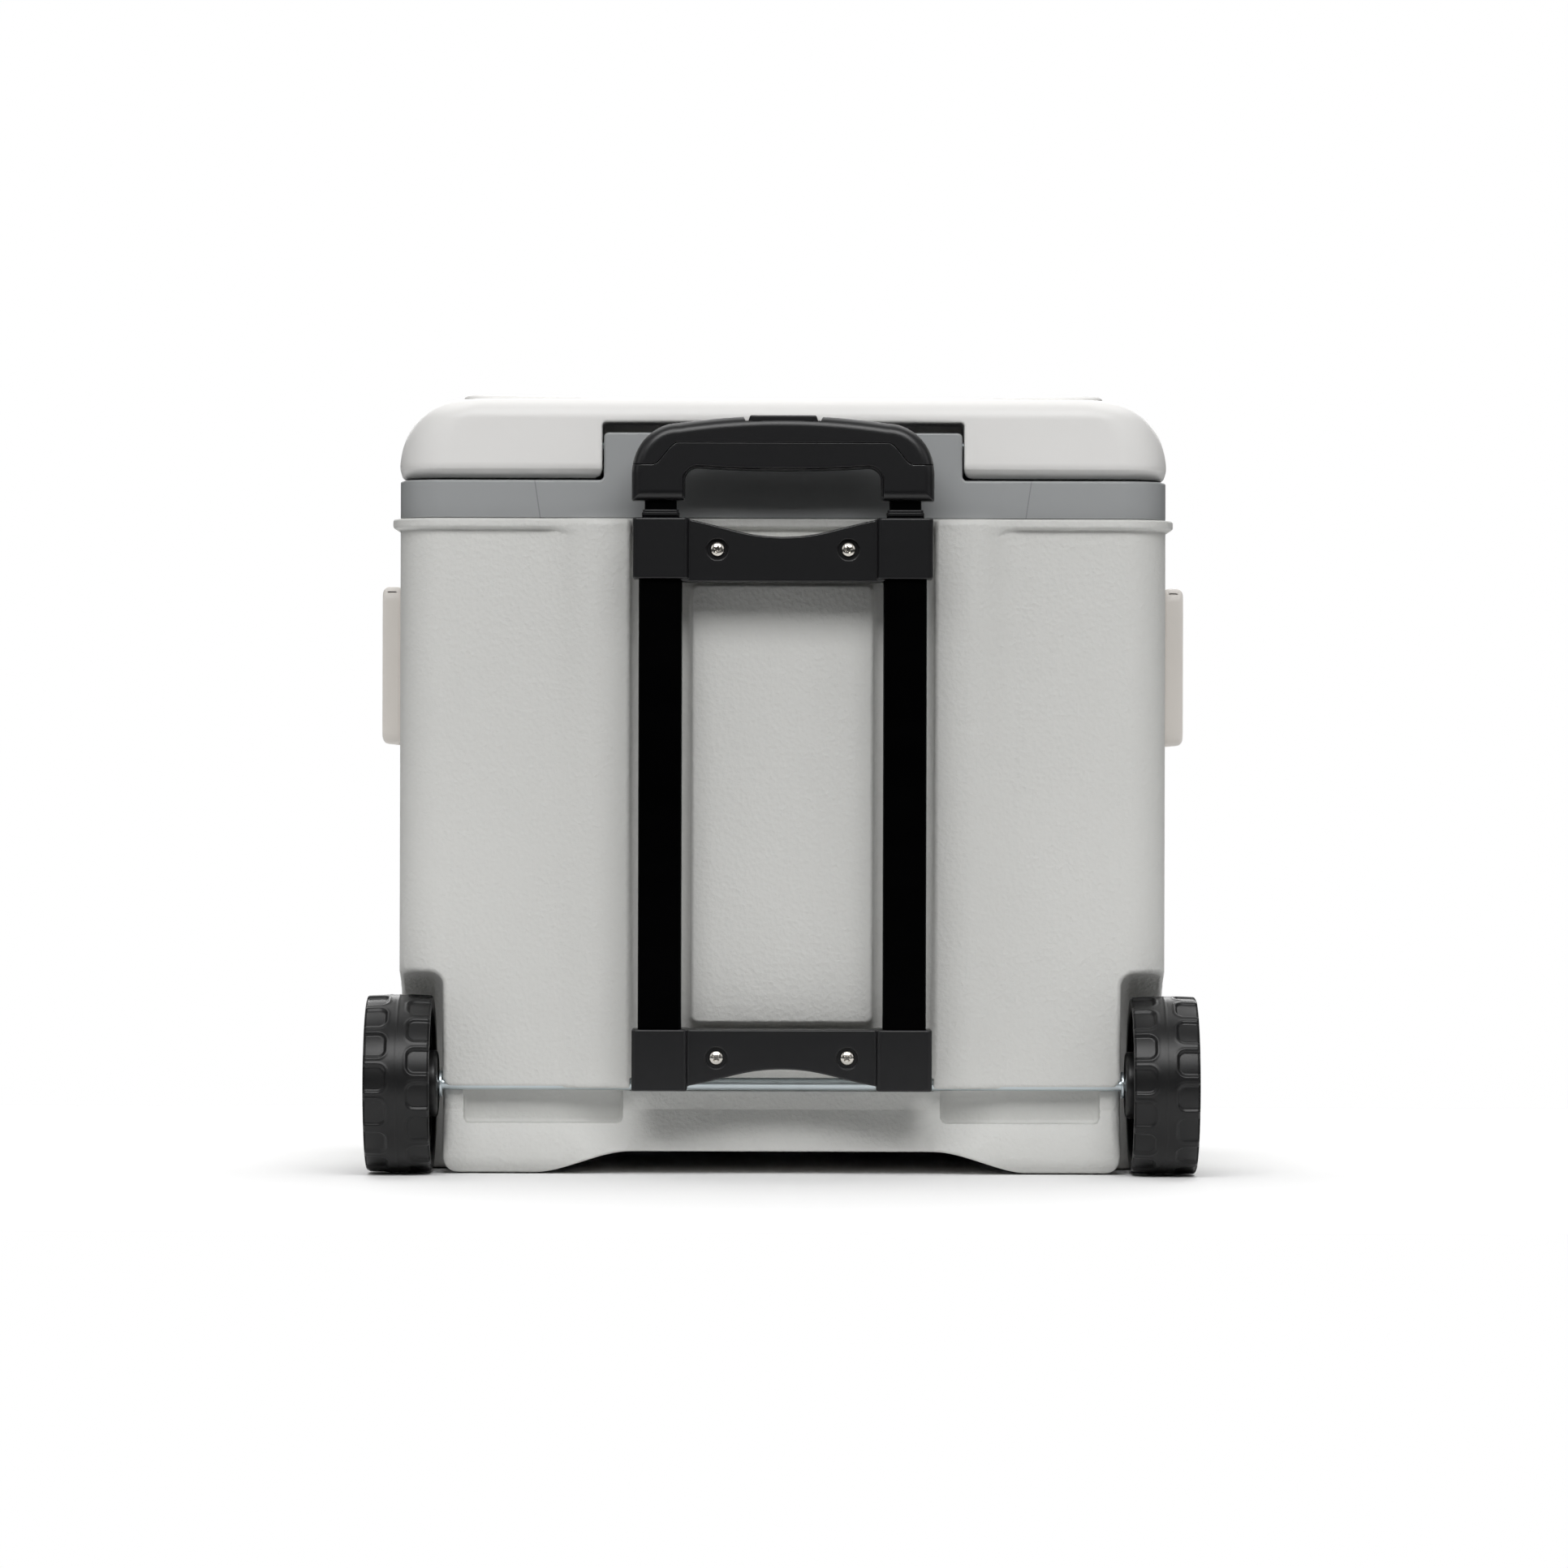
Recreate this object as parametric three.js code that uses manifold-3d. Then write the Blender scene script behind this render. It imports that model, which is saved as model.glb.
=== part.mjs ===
// A hard cooler on wheels with a telescoping trolley handle, in millimetres.
// +Z is up, the trolley side faces -Y, and the origin is on the floor under the middle of the cooler.
import * as THREE from "three";
import { mergeVertices } from "three/addons/utils/BufferGeometryUtils.js";
import Module from "manifold-3d";

const wasm = await Module();
wasm.setup();

// ---------- Driving sizes ----------

// Clearances
const gap = 0.3; // between touching pieces
const slideGap = 0.7; // each side of a sliding tube
const runGap = 0.5; // round a turning pin
const reach = 30; // cutting solids reach this far past what they cut
const over = 1; // and this far where room is short

// Tub
const bodyWidth = 517;
const bodyDepth = 412;
const bodyHeight = 440;
const bodyCorner = 30;
const shellWall = 3;
const rearWallExtra = 2; // the rear wall is this much thicker
const wallInset = 3; // the tub's walls stand this far inside the collar's rear plane
const floorDrop = 18; // underside of the foam above the floor
const beadHeight = 6.5;
const beadProud = 5;
const beadEdge = 1;
const footRounding = [[8, 0], [3, 2.5], [0, 10]]; // inset and height of the rings round the tub's foot

// Liner
const linerWall = 3;
const foamSide = 31.5; // foam between the side walls
const foamFloor = 27; // foam under the liner
const linerDraft = 6; // the liner narrows by this much on each side towards its floor
const linerCorner = 34;
const linerFlange = 12;
const floorRounding = [[8, 0], [2, 3], [0, 11]]; // inset and height of the rings round the liner's floor

// Collar and riser
const collarHeight = 26;
const collarWall = 3;
const collarEdge = 2;
const riserWidth = 241;
const riserDepth = 24;
const riserHeight = 58; // above the tub's rim
const riserCorner = 3.5;

// Lid
const lidGap = 1.6; // above the collar
const lidHeight = 53.4;
const lidEndWidth = 40; // rounding of the lid's ends
const lidEndHeight = 48;
const lidEdge = 14; // rounding along the lid's long edges
const lidCorner = 34;
const lidWall = 3;
const lidRoof = 4.5;
const lidEndSteps = 8;
const lidOverhang = 0.5; // the lid's sides past the tub's sides
const skirtDepth = 10.5;
const skirtHeight = 6;
const skirtSides = 0.15; // share of the skirt's depth on the lid's other sides
const panelInset = 44; // at the front and back
const panelEndInset = 42;
const panelHeight = 4.5;
const panelCorner = 20;
const panelEdge = 1;
const lidSpaceInset = 16.5; // from the lid's ends to its foam space
const lidSpaceHeight = 20; // of the straight part of the foam space
const lidSpaceCorner = 23;
const notchGap = 1; // beside the riser
const plugDepth = 14;
const plugGap = 3;
const plugEdge = 5;

// Lid hinge
const hingeBelowTop = 8.5; // from the riser's top down to the hinge axis
const swingGap = 0.8; // between the riser's corners and the notch as the lid turns
const hingePinRadius = 3;
const hingePinLength = 26;

// Pillars, pad and lands on the trolley side
const channelGap = 2; // beside the brackets
const pillarWidth = 33.5;
const pillarTopProud = 13;
const pillarFootProud = 4;
const pillarTopSlope = 16;
const pillarFootSlope = 4;
const padBesideTubes = 6.5;
const padAboveBracket = 3.5;
const padBelowBracket = 2.5;
const padProud = 10;
const padCorner = 5;
const landInset = 7.5; // the land ends this far inside the bracket's end
const landHeight = 20;
const landProud = 13;
const landBelowScrew = 10.5; // the land's foot below the screws' axes

// Base
const hemBelowAxle = 2.5; // from the axle's axis down to the hem
const baseInset = 9; // the base stands this far inside the hem
const baseStepFoot = 26; // the base starts to slope in at this height
const baseStepHeight = 14.5; // of the flat above the slope, up to the hem
const pocketDepth = 7;
const pocketHeight = 23.5;
const pocketInner = 107;
const pocketInset = 14; // from the wheel well's wall to the pocket
const archHalf = 124;
const archHeight = 15;
const archSlope = 23;
const archLength = 300;
const footChamfer = 10;
const axleShelter = 12; // the shell ahead of the axle

// Wheels and axle
const wheelRadius = 60;
const wheelWidth = 44;
const wheelInset = 24; // the wheel's inner face stands this far inside the tub's side
const wellBesideWheel = 6.5; // from the wheel's inner face to the wheel well's wall
const wellGap = 15; // round the wheel
const axleRadius = 4;
const axleInset = 9.5; // the axle lies this far in front of the rear plane
const hubBoss = 22.5;
const hubBossDepth = 3.5;
const hubBore = 4.5;
const treadThickness = 9;
const rimThickness = 4;
const rimInset = 3; // the rim is this much narrower than the tread on each side
const webThickness = 4;
const spokeThickness = 7;
const spokeCount = 5;
const wheelSides = 40;
const washerRadius = 9;
const washerThickness = 2;
const nutRadius = 8;
const nutThickness = 6;
const nutRoom = 1; // round and behind the nut
const hubCapRadius = 26;
const hubCapDepth = 9;
const hubCapEdge = 4;

// Trolley handle
const tubeSpacing = 81.5; // from the middle of the cooler to each tube's axis
const tubePlane = 32; // the tubes' axes stand this far behind the rear plane
const tubeCorner = 2.5;
const outerTubeWidth = 29;
const outerTubeDepth = 18;
const tubeWall = 1.2;
const tubeFootWall = 3; // of the lower bracket under the outer tubes
const tubeBelowRim = 3;
const ferruleHeight = 4.5;
const middleTubeRise = 6; // foot of the middle tube above the outer tube's foot
const innerTubeRise = 4; // foot of the inner tube above the middle tube's foot
const middleTubeProud = 3; // the middle tube stands this far out of the outer one
const tubeInGrip = 24;
const plugHeight = 20;

// Brackets
const bracketFace = 4; // material behind and beside the outer tubes
const bracketStep = 4; // the web's face stands this far inside the sleeves' face
const bracketWall = 4; // thickness of the web's face and its rim
const screwBossRadius = 7.5;
const bracketHeight = 40.5;
const upperWebExtra = 2; // the upper web reaches this much below its sleeves
const lowerWebExtra = 0.5; // the lower web reaches this much above its sleeves
const lowerWebRise = 2.5; // the lower web's foot above its sleeves' foot
const upperBracketBelowRim = 1;
const upperBracketSag = 12;
const lowerBracketLow = 57.5;
const lowerBracketArch = 12;
const bracketScrewSpacing = 43.6;
const bracketScrewBelowTop = 21.9; // upper screws, under the tub's rim
const bracketScrewAboveFoot = 22.1; // lower screws, above the lower bracket's foot
const screwHeadRadius = 5;
const screwHeadHeight = 2.6;
const screwShankRadius = 2.2;
const screwBite = 14; // length of screw in the shell
const screwSpare = 2.5; // the hole past the screw's end
const screwSlotHalf = 0.6;
const screwSlotReach = 2.6;
const screwSlotDepth = 1.2;
const counterboreRadius = 7.2;
const counterboreDepth = 3;

// Grip
const gripPastTubes = 19.3; // from the tubes' axes to the grip's ends
const gripDepth = 24;
const gripAboveRim = 10;
const gripHeight = 52; // from the foot to the shoulders
const gripCrown = 5.3; // the middle of the bar above the shoulders
const gripShoulderWidth = 31;
const gripShoulderHeight = 34;
const gripLeg = 35.5;
const gripBar = 29; // height of the bar's ends over the finger gap
const gripInnerCorner = 11;
const partingHigh = 39; // the level part of the parting line above the grip's foot
const partingLow = 24.5;
const partingFlat = 70; // half width of the level part of the parting line
const partingRun = 87;

// Release button
const buttonHalf = 23.5;
const buttonDepth = 20;
const buttonTravel = 3.5;
const linkHeight = 4;
const linkDepth = 4;
const linkAboveFoot = 34.5; // underside of the link bar above the grip's foot
const rodRadius = 1.5;
const rodInPlug = 8; // the rods' feet below the plugs' tops
const buttonEdge = 2;
const springRadius = 3.4;
const springWire = 0.9;
const springTurns = 4;
const springLength = 7;
const springRoom = 0.6; // round the spring

// Side handles
const bailWidth = 138; // along the cooler's side
const bailHeight = 109;
const bailThickness = 16;
const bailBelowRim = 42;
const bailArm = 17;
const bailGrip = 24;
const bailCorner = 7.5;
const bailPivotRadius = 4;
const lugThickness = 14;
const lugGap = 0.6; // between a lug and its arm
const pinShort = 4; // the pin ends this far inside the arm's outer face
const pinHoleShort = 3;
const plateThickness = 3;
const plateMargin = 6;

// Drain
const drainForward = 300; // from the rear plane to the drain's axis
const drainHeight = 56;
const drainBore = 8;
const drainTube = 11.5;
const drainFlange = 21;
const drainFlangeThickness = 4;
const drainCapRadius = 15;
const drainCapLength = 12;
const drainGasketThickness = 2;
const drainPlugLength = 14;
const drainTabHalf = 4; // half thickness of the cap's finger tab
const drainCapBase = 4; // height of the cap below its tab
const drainTubeProud = 2; // of the liner's inside

// ---------- Places worked out from the sizes ----------

const bodyHalf = bodyWidth / 2;
// The wheels' rear and the bead's front are equally far from the origin.
const rear = (wheelRadius - axleInset - bodyDepth - beadProud + wallInset) / 2;
const front = rear + bodyDepth;
const wallRear = rear + wallInset;
const wallFront = front - wallInset;
const axleY = rear + axleInset;
const axleZ = wheelRadius;
const foamRear = wallRear + shellWall + rearWallExtra;
const linerHalf = bodyHalf - shellWall - foamSide;
const linerRear = foamRear + foamSide;
const linerFront = wallFront - shellWall - foamSide;
const linerFloor = floorDrop + foamFloor;
const linerTop = bodyHeight - gap;
const drainY = rear + drainForward;
const drainAt = [drainY, drainHeight];
const collarBase = bodyHeight + gap;
const collarTop = bodyHeight + collarHeight;
const riserTop = bodyHeight + riserHeight;
const riserRear = rear + wallInset;
const riserFront = riserRear + riserDepth;
const hingeY = riserRear + riserDepth / 2;
const hingeZ = riserTop - hingeBelowTop;
const swingRadius = Math.hypot(riserDepth / 2, hingeBelowTop) + swingGap;
const lidBase = collarTop + lidGap;
const lidTop = lidBase + lidHeight;
const lidHalf = bodyHalf + lidOverhang;
const notchHalf = riserWidth / 2 + notchGap;
const notchRoof = hingeZ + swingRadius;
const notchFront = hingeY + swingRadius + over;
const wheelInner = bodyHalf - wheelInset;
const wellWall = wheelInner - wellBesideWheel;
const wheelWell = wheelRadius + wellGap;
const wellTop = axleZ + wheelWell + shellWall;
const wellFront = axleY + wheelWell + shellWall + rearWallExtra;
const hemHeight = axleZ - hemBelowAxle;
const pocketOuter = wellWall - pocketInset;
const tubeY = rear - tubePlane;
const outerTubeTop = bodyHeight - tubeBelowRim;
const stepIn = 2 * (tubeWall + slideGap);
const middleTubeWidth = outerTubeWidth - stepIn;
const middleTubeDepth = outerTubeDepth - stepIn;
const innerTubeWidth = middleTubeWidth - stepIn;
const innerTubeDepth = middleTubeDepth - stepIn;
const sleeveHalf = outerTubeWidth / 2 + bracketFace;
const bracketHalf = tubeSpacing + sleeveHalf;
const upperBracketHigh = bodyHeight - upperBracketBelowRim;
const upperBracketLow = upperBracketHigh - bracketHeight;
const upperBracketWebLow = upperBracketLow - upperWebExtra;
const lowerBracketHigh = lowerBracketLow + bracketHeight;
const lowerBracketWebHigh = lowerBracketHigh + lowerWebExtra;
const outerTubeFoot = lowerBracketLow + tubeFootWall;
const screwLevelUpper = bodyHeight - bracketScrewBelowTop;
const screwLevelLower = lowerBracketLow + bracketScrewAboveFoot;
const channelHalf = bracketHalf + channelGap;
const pillarHalf = channelHalf + pillarWidth;
const padHalf = tubeSpacing - outerTubeWidth / 2 - padBesideTubes;
const padLow = lowerBracketHigh + padAboveBracket;
const padHigh = upperBracketLow - padBelowBracket;
const landHalf = bracketHalf - landInset;
const bracketRear = tubeY - outerTubeDepth / 2 - bracketFace;
const landFace = wallRear - landProud;
const bracketBack = landFace - gap;
const webFace = bracketRear + bracketStep;
const screwEnd = landFace + screwBite;
const gripHalf = tubeSpacing + gripPastTubes;
const gripFoot = bodyHeight + gripAboveRim;
const gripTop = gripFoot + gripHeight;
const partingMiddle = gripFoot + partingHigh;
const partingEnd = gripFoot + partingLow;
const linkLevel = gripFoot + linkAboveFoot;
const linkTop = linkLevel + linkHeight;
const gripRear = tubeY - gripDepth / 2;
const gripFront = tubeY + gripDepth / 2;

// ---------- Building blocks ----------

function toSolid(geometry) {
  const bare = geometry.index ? geometry.toNonIndexed() : geometry.clone();
  bare.deleteAttribute("normal");
  bare.deleteAttribute("uv");
  const merged = mergeVertices(bare, 1e-3);
  return new wasm.Manifold(
    new wasm.Mesh({
      numProp: 3,
      vertProperties: new Float32Array(merged.attributes.position.array),
      triVerts: new Uint32Array(merged.index.array),
    }),
  );
}

function toGeometry(solid) {
  const mesh = solid.getMesh();
  const positions = new THREE.BufferAttribute(new Float32Array(mesh.vertProperties), 3);
  const geometry = new THREE.BufferGeometry();
  geometry.setAttribute("position", positions);
  geometry.setIndex(new THREE.BufferAttribute(new Uint32Array(mesh.triVerts), 1));
  geometry.computeVertexNormals();
  return geometry;
}

const join = (first, ...others) => others.reduce((sum, one) => sum.add(one), first);
const cut = (first, ...others) => others.reduce((rest, one) => rest.subtract(one), first);

// A box between two corners.
function block(x0, x1, y0, y1, z0, z1) {
  const box = new THREE.BoxGeometry(x1 - x0, y1 - y0, z1 - z0);
  return toSolid(box.translate((x0 + x1) / 2, (y0 + y1) / 2, (z0 + z1) / 2));
}

// A round bar between two places along X, Y or Z.
function bar(axis, radius, from, to, centre, sides = 24) {
  const rod = new THREE.CylinderGeometry(radius, radius, to - from, sides);
  if (axis === "x") rod.rotateZ(-Math.PI / 2).translate((from + to) / 2, centre[0], centre[1]);
  if (axis === "y") rod.translate(centre[0], (from + to) / 2, centre[1]);
  if (axis === "z") rod.rotateX(Math.PI / 2).translate(centre[0], centre[1], (from + to) / 2);
  return toSolid(rod);
}

// A ring of points round a rectangle with round corners, anticlockwise seen from above.
function ring(x0, x1, y0, y1, radius, z, steps = 4) {
  const corners = [
    [x1 - radius, y1 - radius, 0],
    [x0 + radius, y1 - radius, 1],
    [x0 + radius, y0 + radius, 2],
    [x1 - radius, y0 + radius, 3],
  ];
  return corners.flatMap(([x, y, quarter]) =>
    Array.from({ length: steps + 1 }, (_, i) => {
      const angle = ((quarter + i / steps) * Math.PI) / 2;
      return new THREE.Vector3(x + radius * Math.cos(angle), y + radius * Math.sin(angle), z);
    }),
  );
}

// A closed skin over rings of equal length, the lowest first.
function loft(rings) {
  const count = rings[0].length;
  const positions = [];
  const add = (...points) => points.forEach((p) => positions.push(p.x, p.y, p.z));
  for (let level = 0; level + 1 < rings.length; level++) {
    for (let i = 0; i < count; i++) {
      const next = (i + 1) % count;
      const [low, high] = [rings[level], rings[level + 1]];
      add(low[i], low[next], high[next]);
      add(low[i], high[next], high[i]);
    }
  }
  const last = rings[rings.length - 1];
  for (let i = 1; i + 1 < count; i++) {
    add(rings[0][0], rings[0][i + 1], rings[0][i]);
    add(last[0], last[i], last[i + 1]);
  }
  const geometry = new THREE.BufferGeometry();
  geometry.setAttribute("position", new THREE.Float32BufferAttribute(positions, 3));
  return toSolid(geometry);
}

// A flat outline with round corners, as a shape in two directions.
function roundedOutline(u0, u1, v0, v1, radius) {
  const shape = new THREE.Shape();
  shape.absarc(u1 - radius, v1 - radius, radius, 0, Math.PI / 2);
  shape.absarc(u0 + radius, v1 - radius, radius, Math.PI / 2, Math.PI);
  shape.absarc(u0 + radius, v0 + radius, radius, Math.PI, (3 * Math.PI) / 2);
  shape.absarc(u1 - radius, v0 + radius, radius, (3 * Math.PI) / 2, 2 * Math.PI);
  return shape;
}

function extrude(shape, depth, curveSegments) {
  return new THREE.ExtrudeGeometry(shape, { depth, curveSegments, bevelEnabled: false });
}

// An outline in X and Z, drawn out along Y.
function alongY(shape, y0, y1, curveSegments = 4) {
  return toSolid(extrude(shape, y1 - y0, curveSegments).rotateX(Math.PI / 2).translate(0, y1, 0));
}

// An outline in Y and Z, drawn out along X.
function alongX(shape, x0, x1, curveSegments = 4) {
  const turned = extrude(shape, x1 - x0, curveSegments).rotateX(Math.PI / 2).rotateZ(Math.PI / 2);
  return toSolid(turned.translate(x0, 0, 0));
}

// An outline in X and Y, drawn out along Z.
function alongZ(shape, z0, z1, curveSegments = 4) {
  return toSolid(extrude(shape, z1 - z0, curveSegments).translate(0, 0, z0));
}

function polygon(points) {
  return new THREE.Shape(points.map(([u, v]) => new THREE.Vector2(u, v)));
}

const mirrored = (solid) => solid.mirror([1, 0, 0]);

// ---------- Finishes ----------

const finish = (color, roughness, metalness = 0) =>
  new THREE.MeshStandardMaterial({ color, roughness, metalness });
const texturedGrey = () => finish(0xc9c8c3, 0.62);
const lidWhite = () => finish(0xe2e2df, 0.42);
const collarGrey = () => finish(0x98999b, 0.38);
const linerWhite = () => finish(0xf1f1ee, 0.35);
const foamCream = () => finish(0xe8dcb0, 0.95);
const handleGrey = () => finish(0xcfcec9, 0.5);
const satinBlack = () => finish(0x1d1d1f, 0.5);
const tubeBlack = () => finish(0x060607, 0.3, 0.6);
const wheelBlack = () => finish(0x222223, 0.6);
const zinc = () => finish(0xb9bcc0, 0.28, 1);
const rubberBlack = () => finish(0x18181a, 0.85);

const cooler = new THREE.Group();

function place(name, solid, material, parent = cooler) {
  const mesh = new THREE.Mesh(toGeometry(solid), material);
  mesh.name = name;
  parent.add(mesh);
}

// One piece on each side of the cooler, made for the right side and mirrored for the left.
function placePair(name, solid, material, parent = cooler) {
  place(name + "_right", solid, material(), parent);
  place(name + "_left", mirrored(solid), material(), parent);
}

// ---------- Outer shell ----------

// The tub's outline, grown outwards by a margin.
function tubRing(margin, z) {
  const half = bodyHalf + margin;
  return ring(-half, half, wallRear - margin, wallFront + margin, bodyCorner + margin, z);
}

// A pillar beside the channel: it stands proud at the top and dies away towards the hem.
function pillar() {
  const section = (proud, slope, z) =>
    [
      [channelHalf, wallRear + over],
      [channelHalf, wallRear - proud],
      [pillarHalf, wallRear - proud],
      [pillarHalf + slope, wallRear + over],
    ].map(([x, y]) => new THREE.Vector3(x, y, z));
  return loft([
    section(pillarFootProud, pillarFootSlope, hemHeight),
    section(pillarTopProud, pillarTopSlope, bodyHeight),
  ]);
}

function outerShell() {
  const bead = loft([
    tubRing(beadEdge / 2, bodyHeight - beadHeight - 1.5 * beadEdge),
    tubRing(beadProud, bodyHeight - beadHeight + beadEdge),
    tubRing(beadProud, bodyHeight - beadEdge),
    tubRing(beadProud - beadEdge, bodyHeight),
  ]);
  const foot = footRounding.map(([inset, height]) => tubRing(-inset, height));
  const tub = loft([...foot, tubRing(0, bodyHeight)]);

  const padOutline = roundedOutline(-padHalf, padHalf, padLow, padHigh, padCorner);
  const pad = alongY(padOutline, wallRear - padProud, wallRear + over);
  const lands = [screwLevelUpper, screwLevelLower].map((level) => {
    const low = level - landBelowScrew;
    return block(-landHalf, landHalf, landFace, wallRear + over, low, low + landHeight);
  });
  const grown = join(tub, bead, pillar(), mirrored(pillar()), pad, ...lands);

  // The foam's space: full width above and in front of the wheel wells, narrower between them.
  const inside = bodyHalf - shellWall;
  const insideFront = wallFront - shellWall;
  const cavityRadius = bodyCorner - shellWall;
  const rimZ = bodyHeight + over;
  const upperSpace = loft([
    ring(-inside, inside, foamRear, insideFront, cavityRadius, wellTop),
    ring(-inside, inside, foamRear, insideFront, cavityRadius, rimZ),
  ]);
  const frontSpace = loft([
    ring(-inside, inside, wellFront, insideFront, cavityRadius, floorDrop),
    ring(-inside, inside, wellFront, insideFront, cavityRadius, rimZ),
  ]);
  const innerHalf = wellWall - shellWall;
  const shelter = axleY + axleShelter;
  const betweenWells = block(-innerHalf, innerHalf, shelter, wellFront + reach, floorDrop, wellTop + over);

  // Under the hem the base steps in, and two pockets go deeper.
  const baseStep = alongX(
    polygon([
      [rear - reach, baseStepFoot],
      [wallRear + rearWallExtra, baseStepFoot],
      [wallRear + baseInset, hemHeight - baseStepHeight],
      [wallRear + baseInset, hemHeight],
      [rear - reach, hemHeight],
    ]),
    -bodyHalf - reach,
    bodyHalf + reach,
  );
  const pocketBack = wallRear + baseInset + pocketDepth;
  const pocketLow = hemHeight - pocketHeight;
  const pocket = block(pocketInner, pocketOuter, rear - reach, pocketBack, pocketLow, hemHeight);

  // The arch between the rear feet.
  const arch = alongY(
    polygon([
      [-archHalf - archSlope, -over],
      [archHalf + archSlope, -over],
      [archHalf, archHeight],
      [-archHalf, archHeight],
    ]),
    rear - reach,
    rear + archLength,
  );

  const well = bar("x", wheelWell, wellWall, bodyHalf + reach, [axleY, axleZ], wheelSides);
  const wellRearSlot = block(wellWall, bodyHalf + reach, rear - reach, axleY, -over, axleZ);
  const footCorner = alongY(
    polygon([
      [wellWall - footChamfer, -over],
      [wellWall + over, -over],
      [wellWall + over, footChamfer],
    ]),
    rear - reach,
    axleY + Math.sqrt(wheelWell ** 2 - axleZ ** 2),
  );
  const axleTunnel = bar("x", axleRadius + runGap, -bodyHalf - reach, bodyHalf + reach, [axleY, axleZ], 16);
  const axleSlot = block(
    -channelHalf,
    channelHalf,
    rear - reach,
    axleY + axleRadius + runGap,
    axleZ - axleRadius - runGap,
    axleZ + axleRadius + runGap,
  );
  const wells = [well, wellRearSlot, footCorner];

  const drain = bar("x", drainTube + runGap, inside - reach, bodyHalf + reach, drainAt, 24);
  const screwHoles = [screwLevelUpper, screwLevelLower].flatMap((z) =>
    [-bracketScrewSpacing, bracketScrewSpacing].map((x) =>
      bar("y", screwShankRadius + gap, rear - reach, screwEnd + screwSpare, [x, z], 8),
    ),
  );
  return cut(
    grown,
    upperSpace,
    frontSpace,
    betweenWells,
    baseStep,
    pocket,
    mirrored(pocket),
    arch,
    ...wells,
    ...wells.map(mirrored),
    axleTunnel,
    axleSlot,
    drain,
    ...screwHoles,
  );
}

place("outer_shell", outerShell(), texturedGrey());

// ---------- Liner and foam ----------

// The liner's outline at one height, grown outwards by a margin.
function linerRing(margin, z) {
  const share = (z - linerFloor) / (collarTop - linerFloor);
  const half = linerHalf - linerDraft * (1 - share) + margin;
  const back = linerRear + linerDraft * (1 - share) - margin;
  const ahead = linerFront - linerDraft * (1 - share) + margin;
  return ring(-half, half, back, ahead, linerCorner + margin, z);
}

// The rings that round the liner's floor, grown outwards by a margin, from a height upwards.
function roundedFloor(margin, low) {
  return floorRounding.map(([inset, height]) => linerRing(margin - inset, low + height));
}

function linerTub() {
  const outside = loft([...roundedFloor(0, linerFloor - linerWall), linerRing(0, linerTop)]);
  const flange = loft([linerRing(linerFlange, linerTop - linerWall), linerRing(linerFlange, linerTop)]);
  const hollow = loft([...roundedFloor(-linerWall, linerFloor), linerRing(-linerWall, linerTop + over)]);
  const drain = bar("x", drainTube + runGap, linerHalf - reach, linerHalf + reach, drainAt, 24);
  return cut(join(outside, flange), hollow, drain);
}

place("inner_liner", linerTub(), linerWhite());

function foamBlock() {
  const inside = bodyHalf - shellWall - gap;
  const back = foamRear + gap;
  const ahead = wallFront - shellWall - gap;
  const radius = bodyCorner - shellWall;
  const start = wellFront + gap;
  const roof = wellTop + gap;
  const foamTop = linerTop - linerWall - gap;
  const upper = loft([
    ring(-inside, inside, back, ahead, radius, roof),
    ring(-inside, inside, back, ahead, radius, foamTop),
  ]);
  const lower = loft([
    ring(-inside, inside, start, ahead, radius, floorDrop + gap),
    ring(-inside, inside, start, ahead, radius, foamTop),
  ]);
  const innerHalf = wellWall - shellWall - gap;
  const shelter = axleY + axleShelter + gap;
  const between = block(-innerHalf, innerHalf, shelter, start + reach, floorDrop + gap, roof + over);
  const hollow = loft([...roundedFloor(gap, linerFloor - linerWall - gap), linerRing(gap, foamTop + over)]);
  const drain = bar("x", drainTube + runGap, linerHalf - reach, bodyHalf, drainAt, 24);
  return cut(join(upper, lower, between), hollow, drain);
}

place("insulation_foam", foamBlock(), foamCream());

// ---------- Collar ----------

function rimCollar() {
  const outside = loft([
    tubRing(0, collarBase),
    tubRing(0, collarTop - collarEdge),
    tubRing(-collarEdge, collarTop),
  ]);
  const opening = loft([linerRing(-linerWall, collarBase - over), linerRing(-linerWall, collarTop + over)]);
  const underside = cut(
    loft([tubRing(-collarWall, collarBase - over), tubRing(-collarWall, collarTop - collarWall)]),
    loft([linerRing(collarWall, collarBase - 2 * over), linerRing(collarWall, collarTop)]),
  );
  const riserOutline = polygon([
    [-riserWidth / 2, collarTop - collarWall],
    [riserWidth / 2, collarTop - collarWall],
    [riserWidth / 2, riserTop - riserCorner],
    [riserWidth / 2 - riserCorner, riserTop],
    [-riserWidth / 2 + riserCorner, riserTop],
    [-riserWidth / 2, riserTop - riserCorner],
  ]);
  const riser = alongY(riserOutline, riserRear, riserFront);
  const shell = cut(join(outside, riser), opening, underside);
  const pinHoles = [-1, 1].map((side) => {
    const middle = (side * riserWidth) / 2;
    const half = hingePinLength / 2 + runGap;
    return bar("x", hingePinRadius + gap, middle - half, middle + half, [hingeY, hingeZ], 16);
  });
  return cut(shell, ...pinHoles);
}

place("rim_collar", rimCollar(), collarGrey());

const hingePin = bar(
  "x",
  hingePinRadius,
  riserWidth / 2 - hingePinLength / 2,
  riserWidth / 2 + hingePinLength / 2,
  [hingeY, hingeZ],
  16,
);
placePair("lid_hinge_pin", hingePin, zinc);

// ---------- Lid ----------

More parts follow.
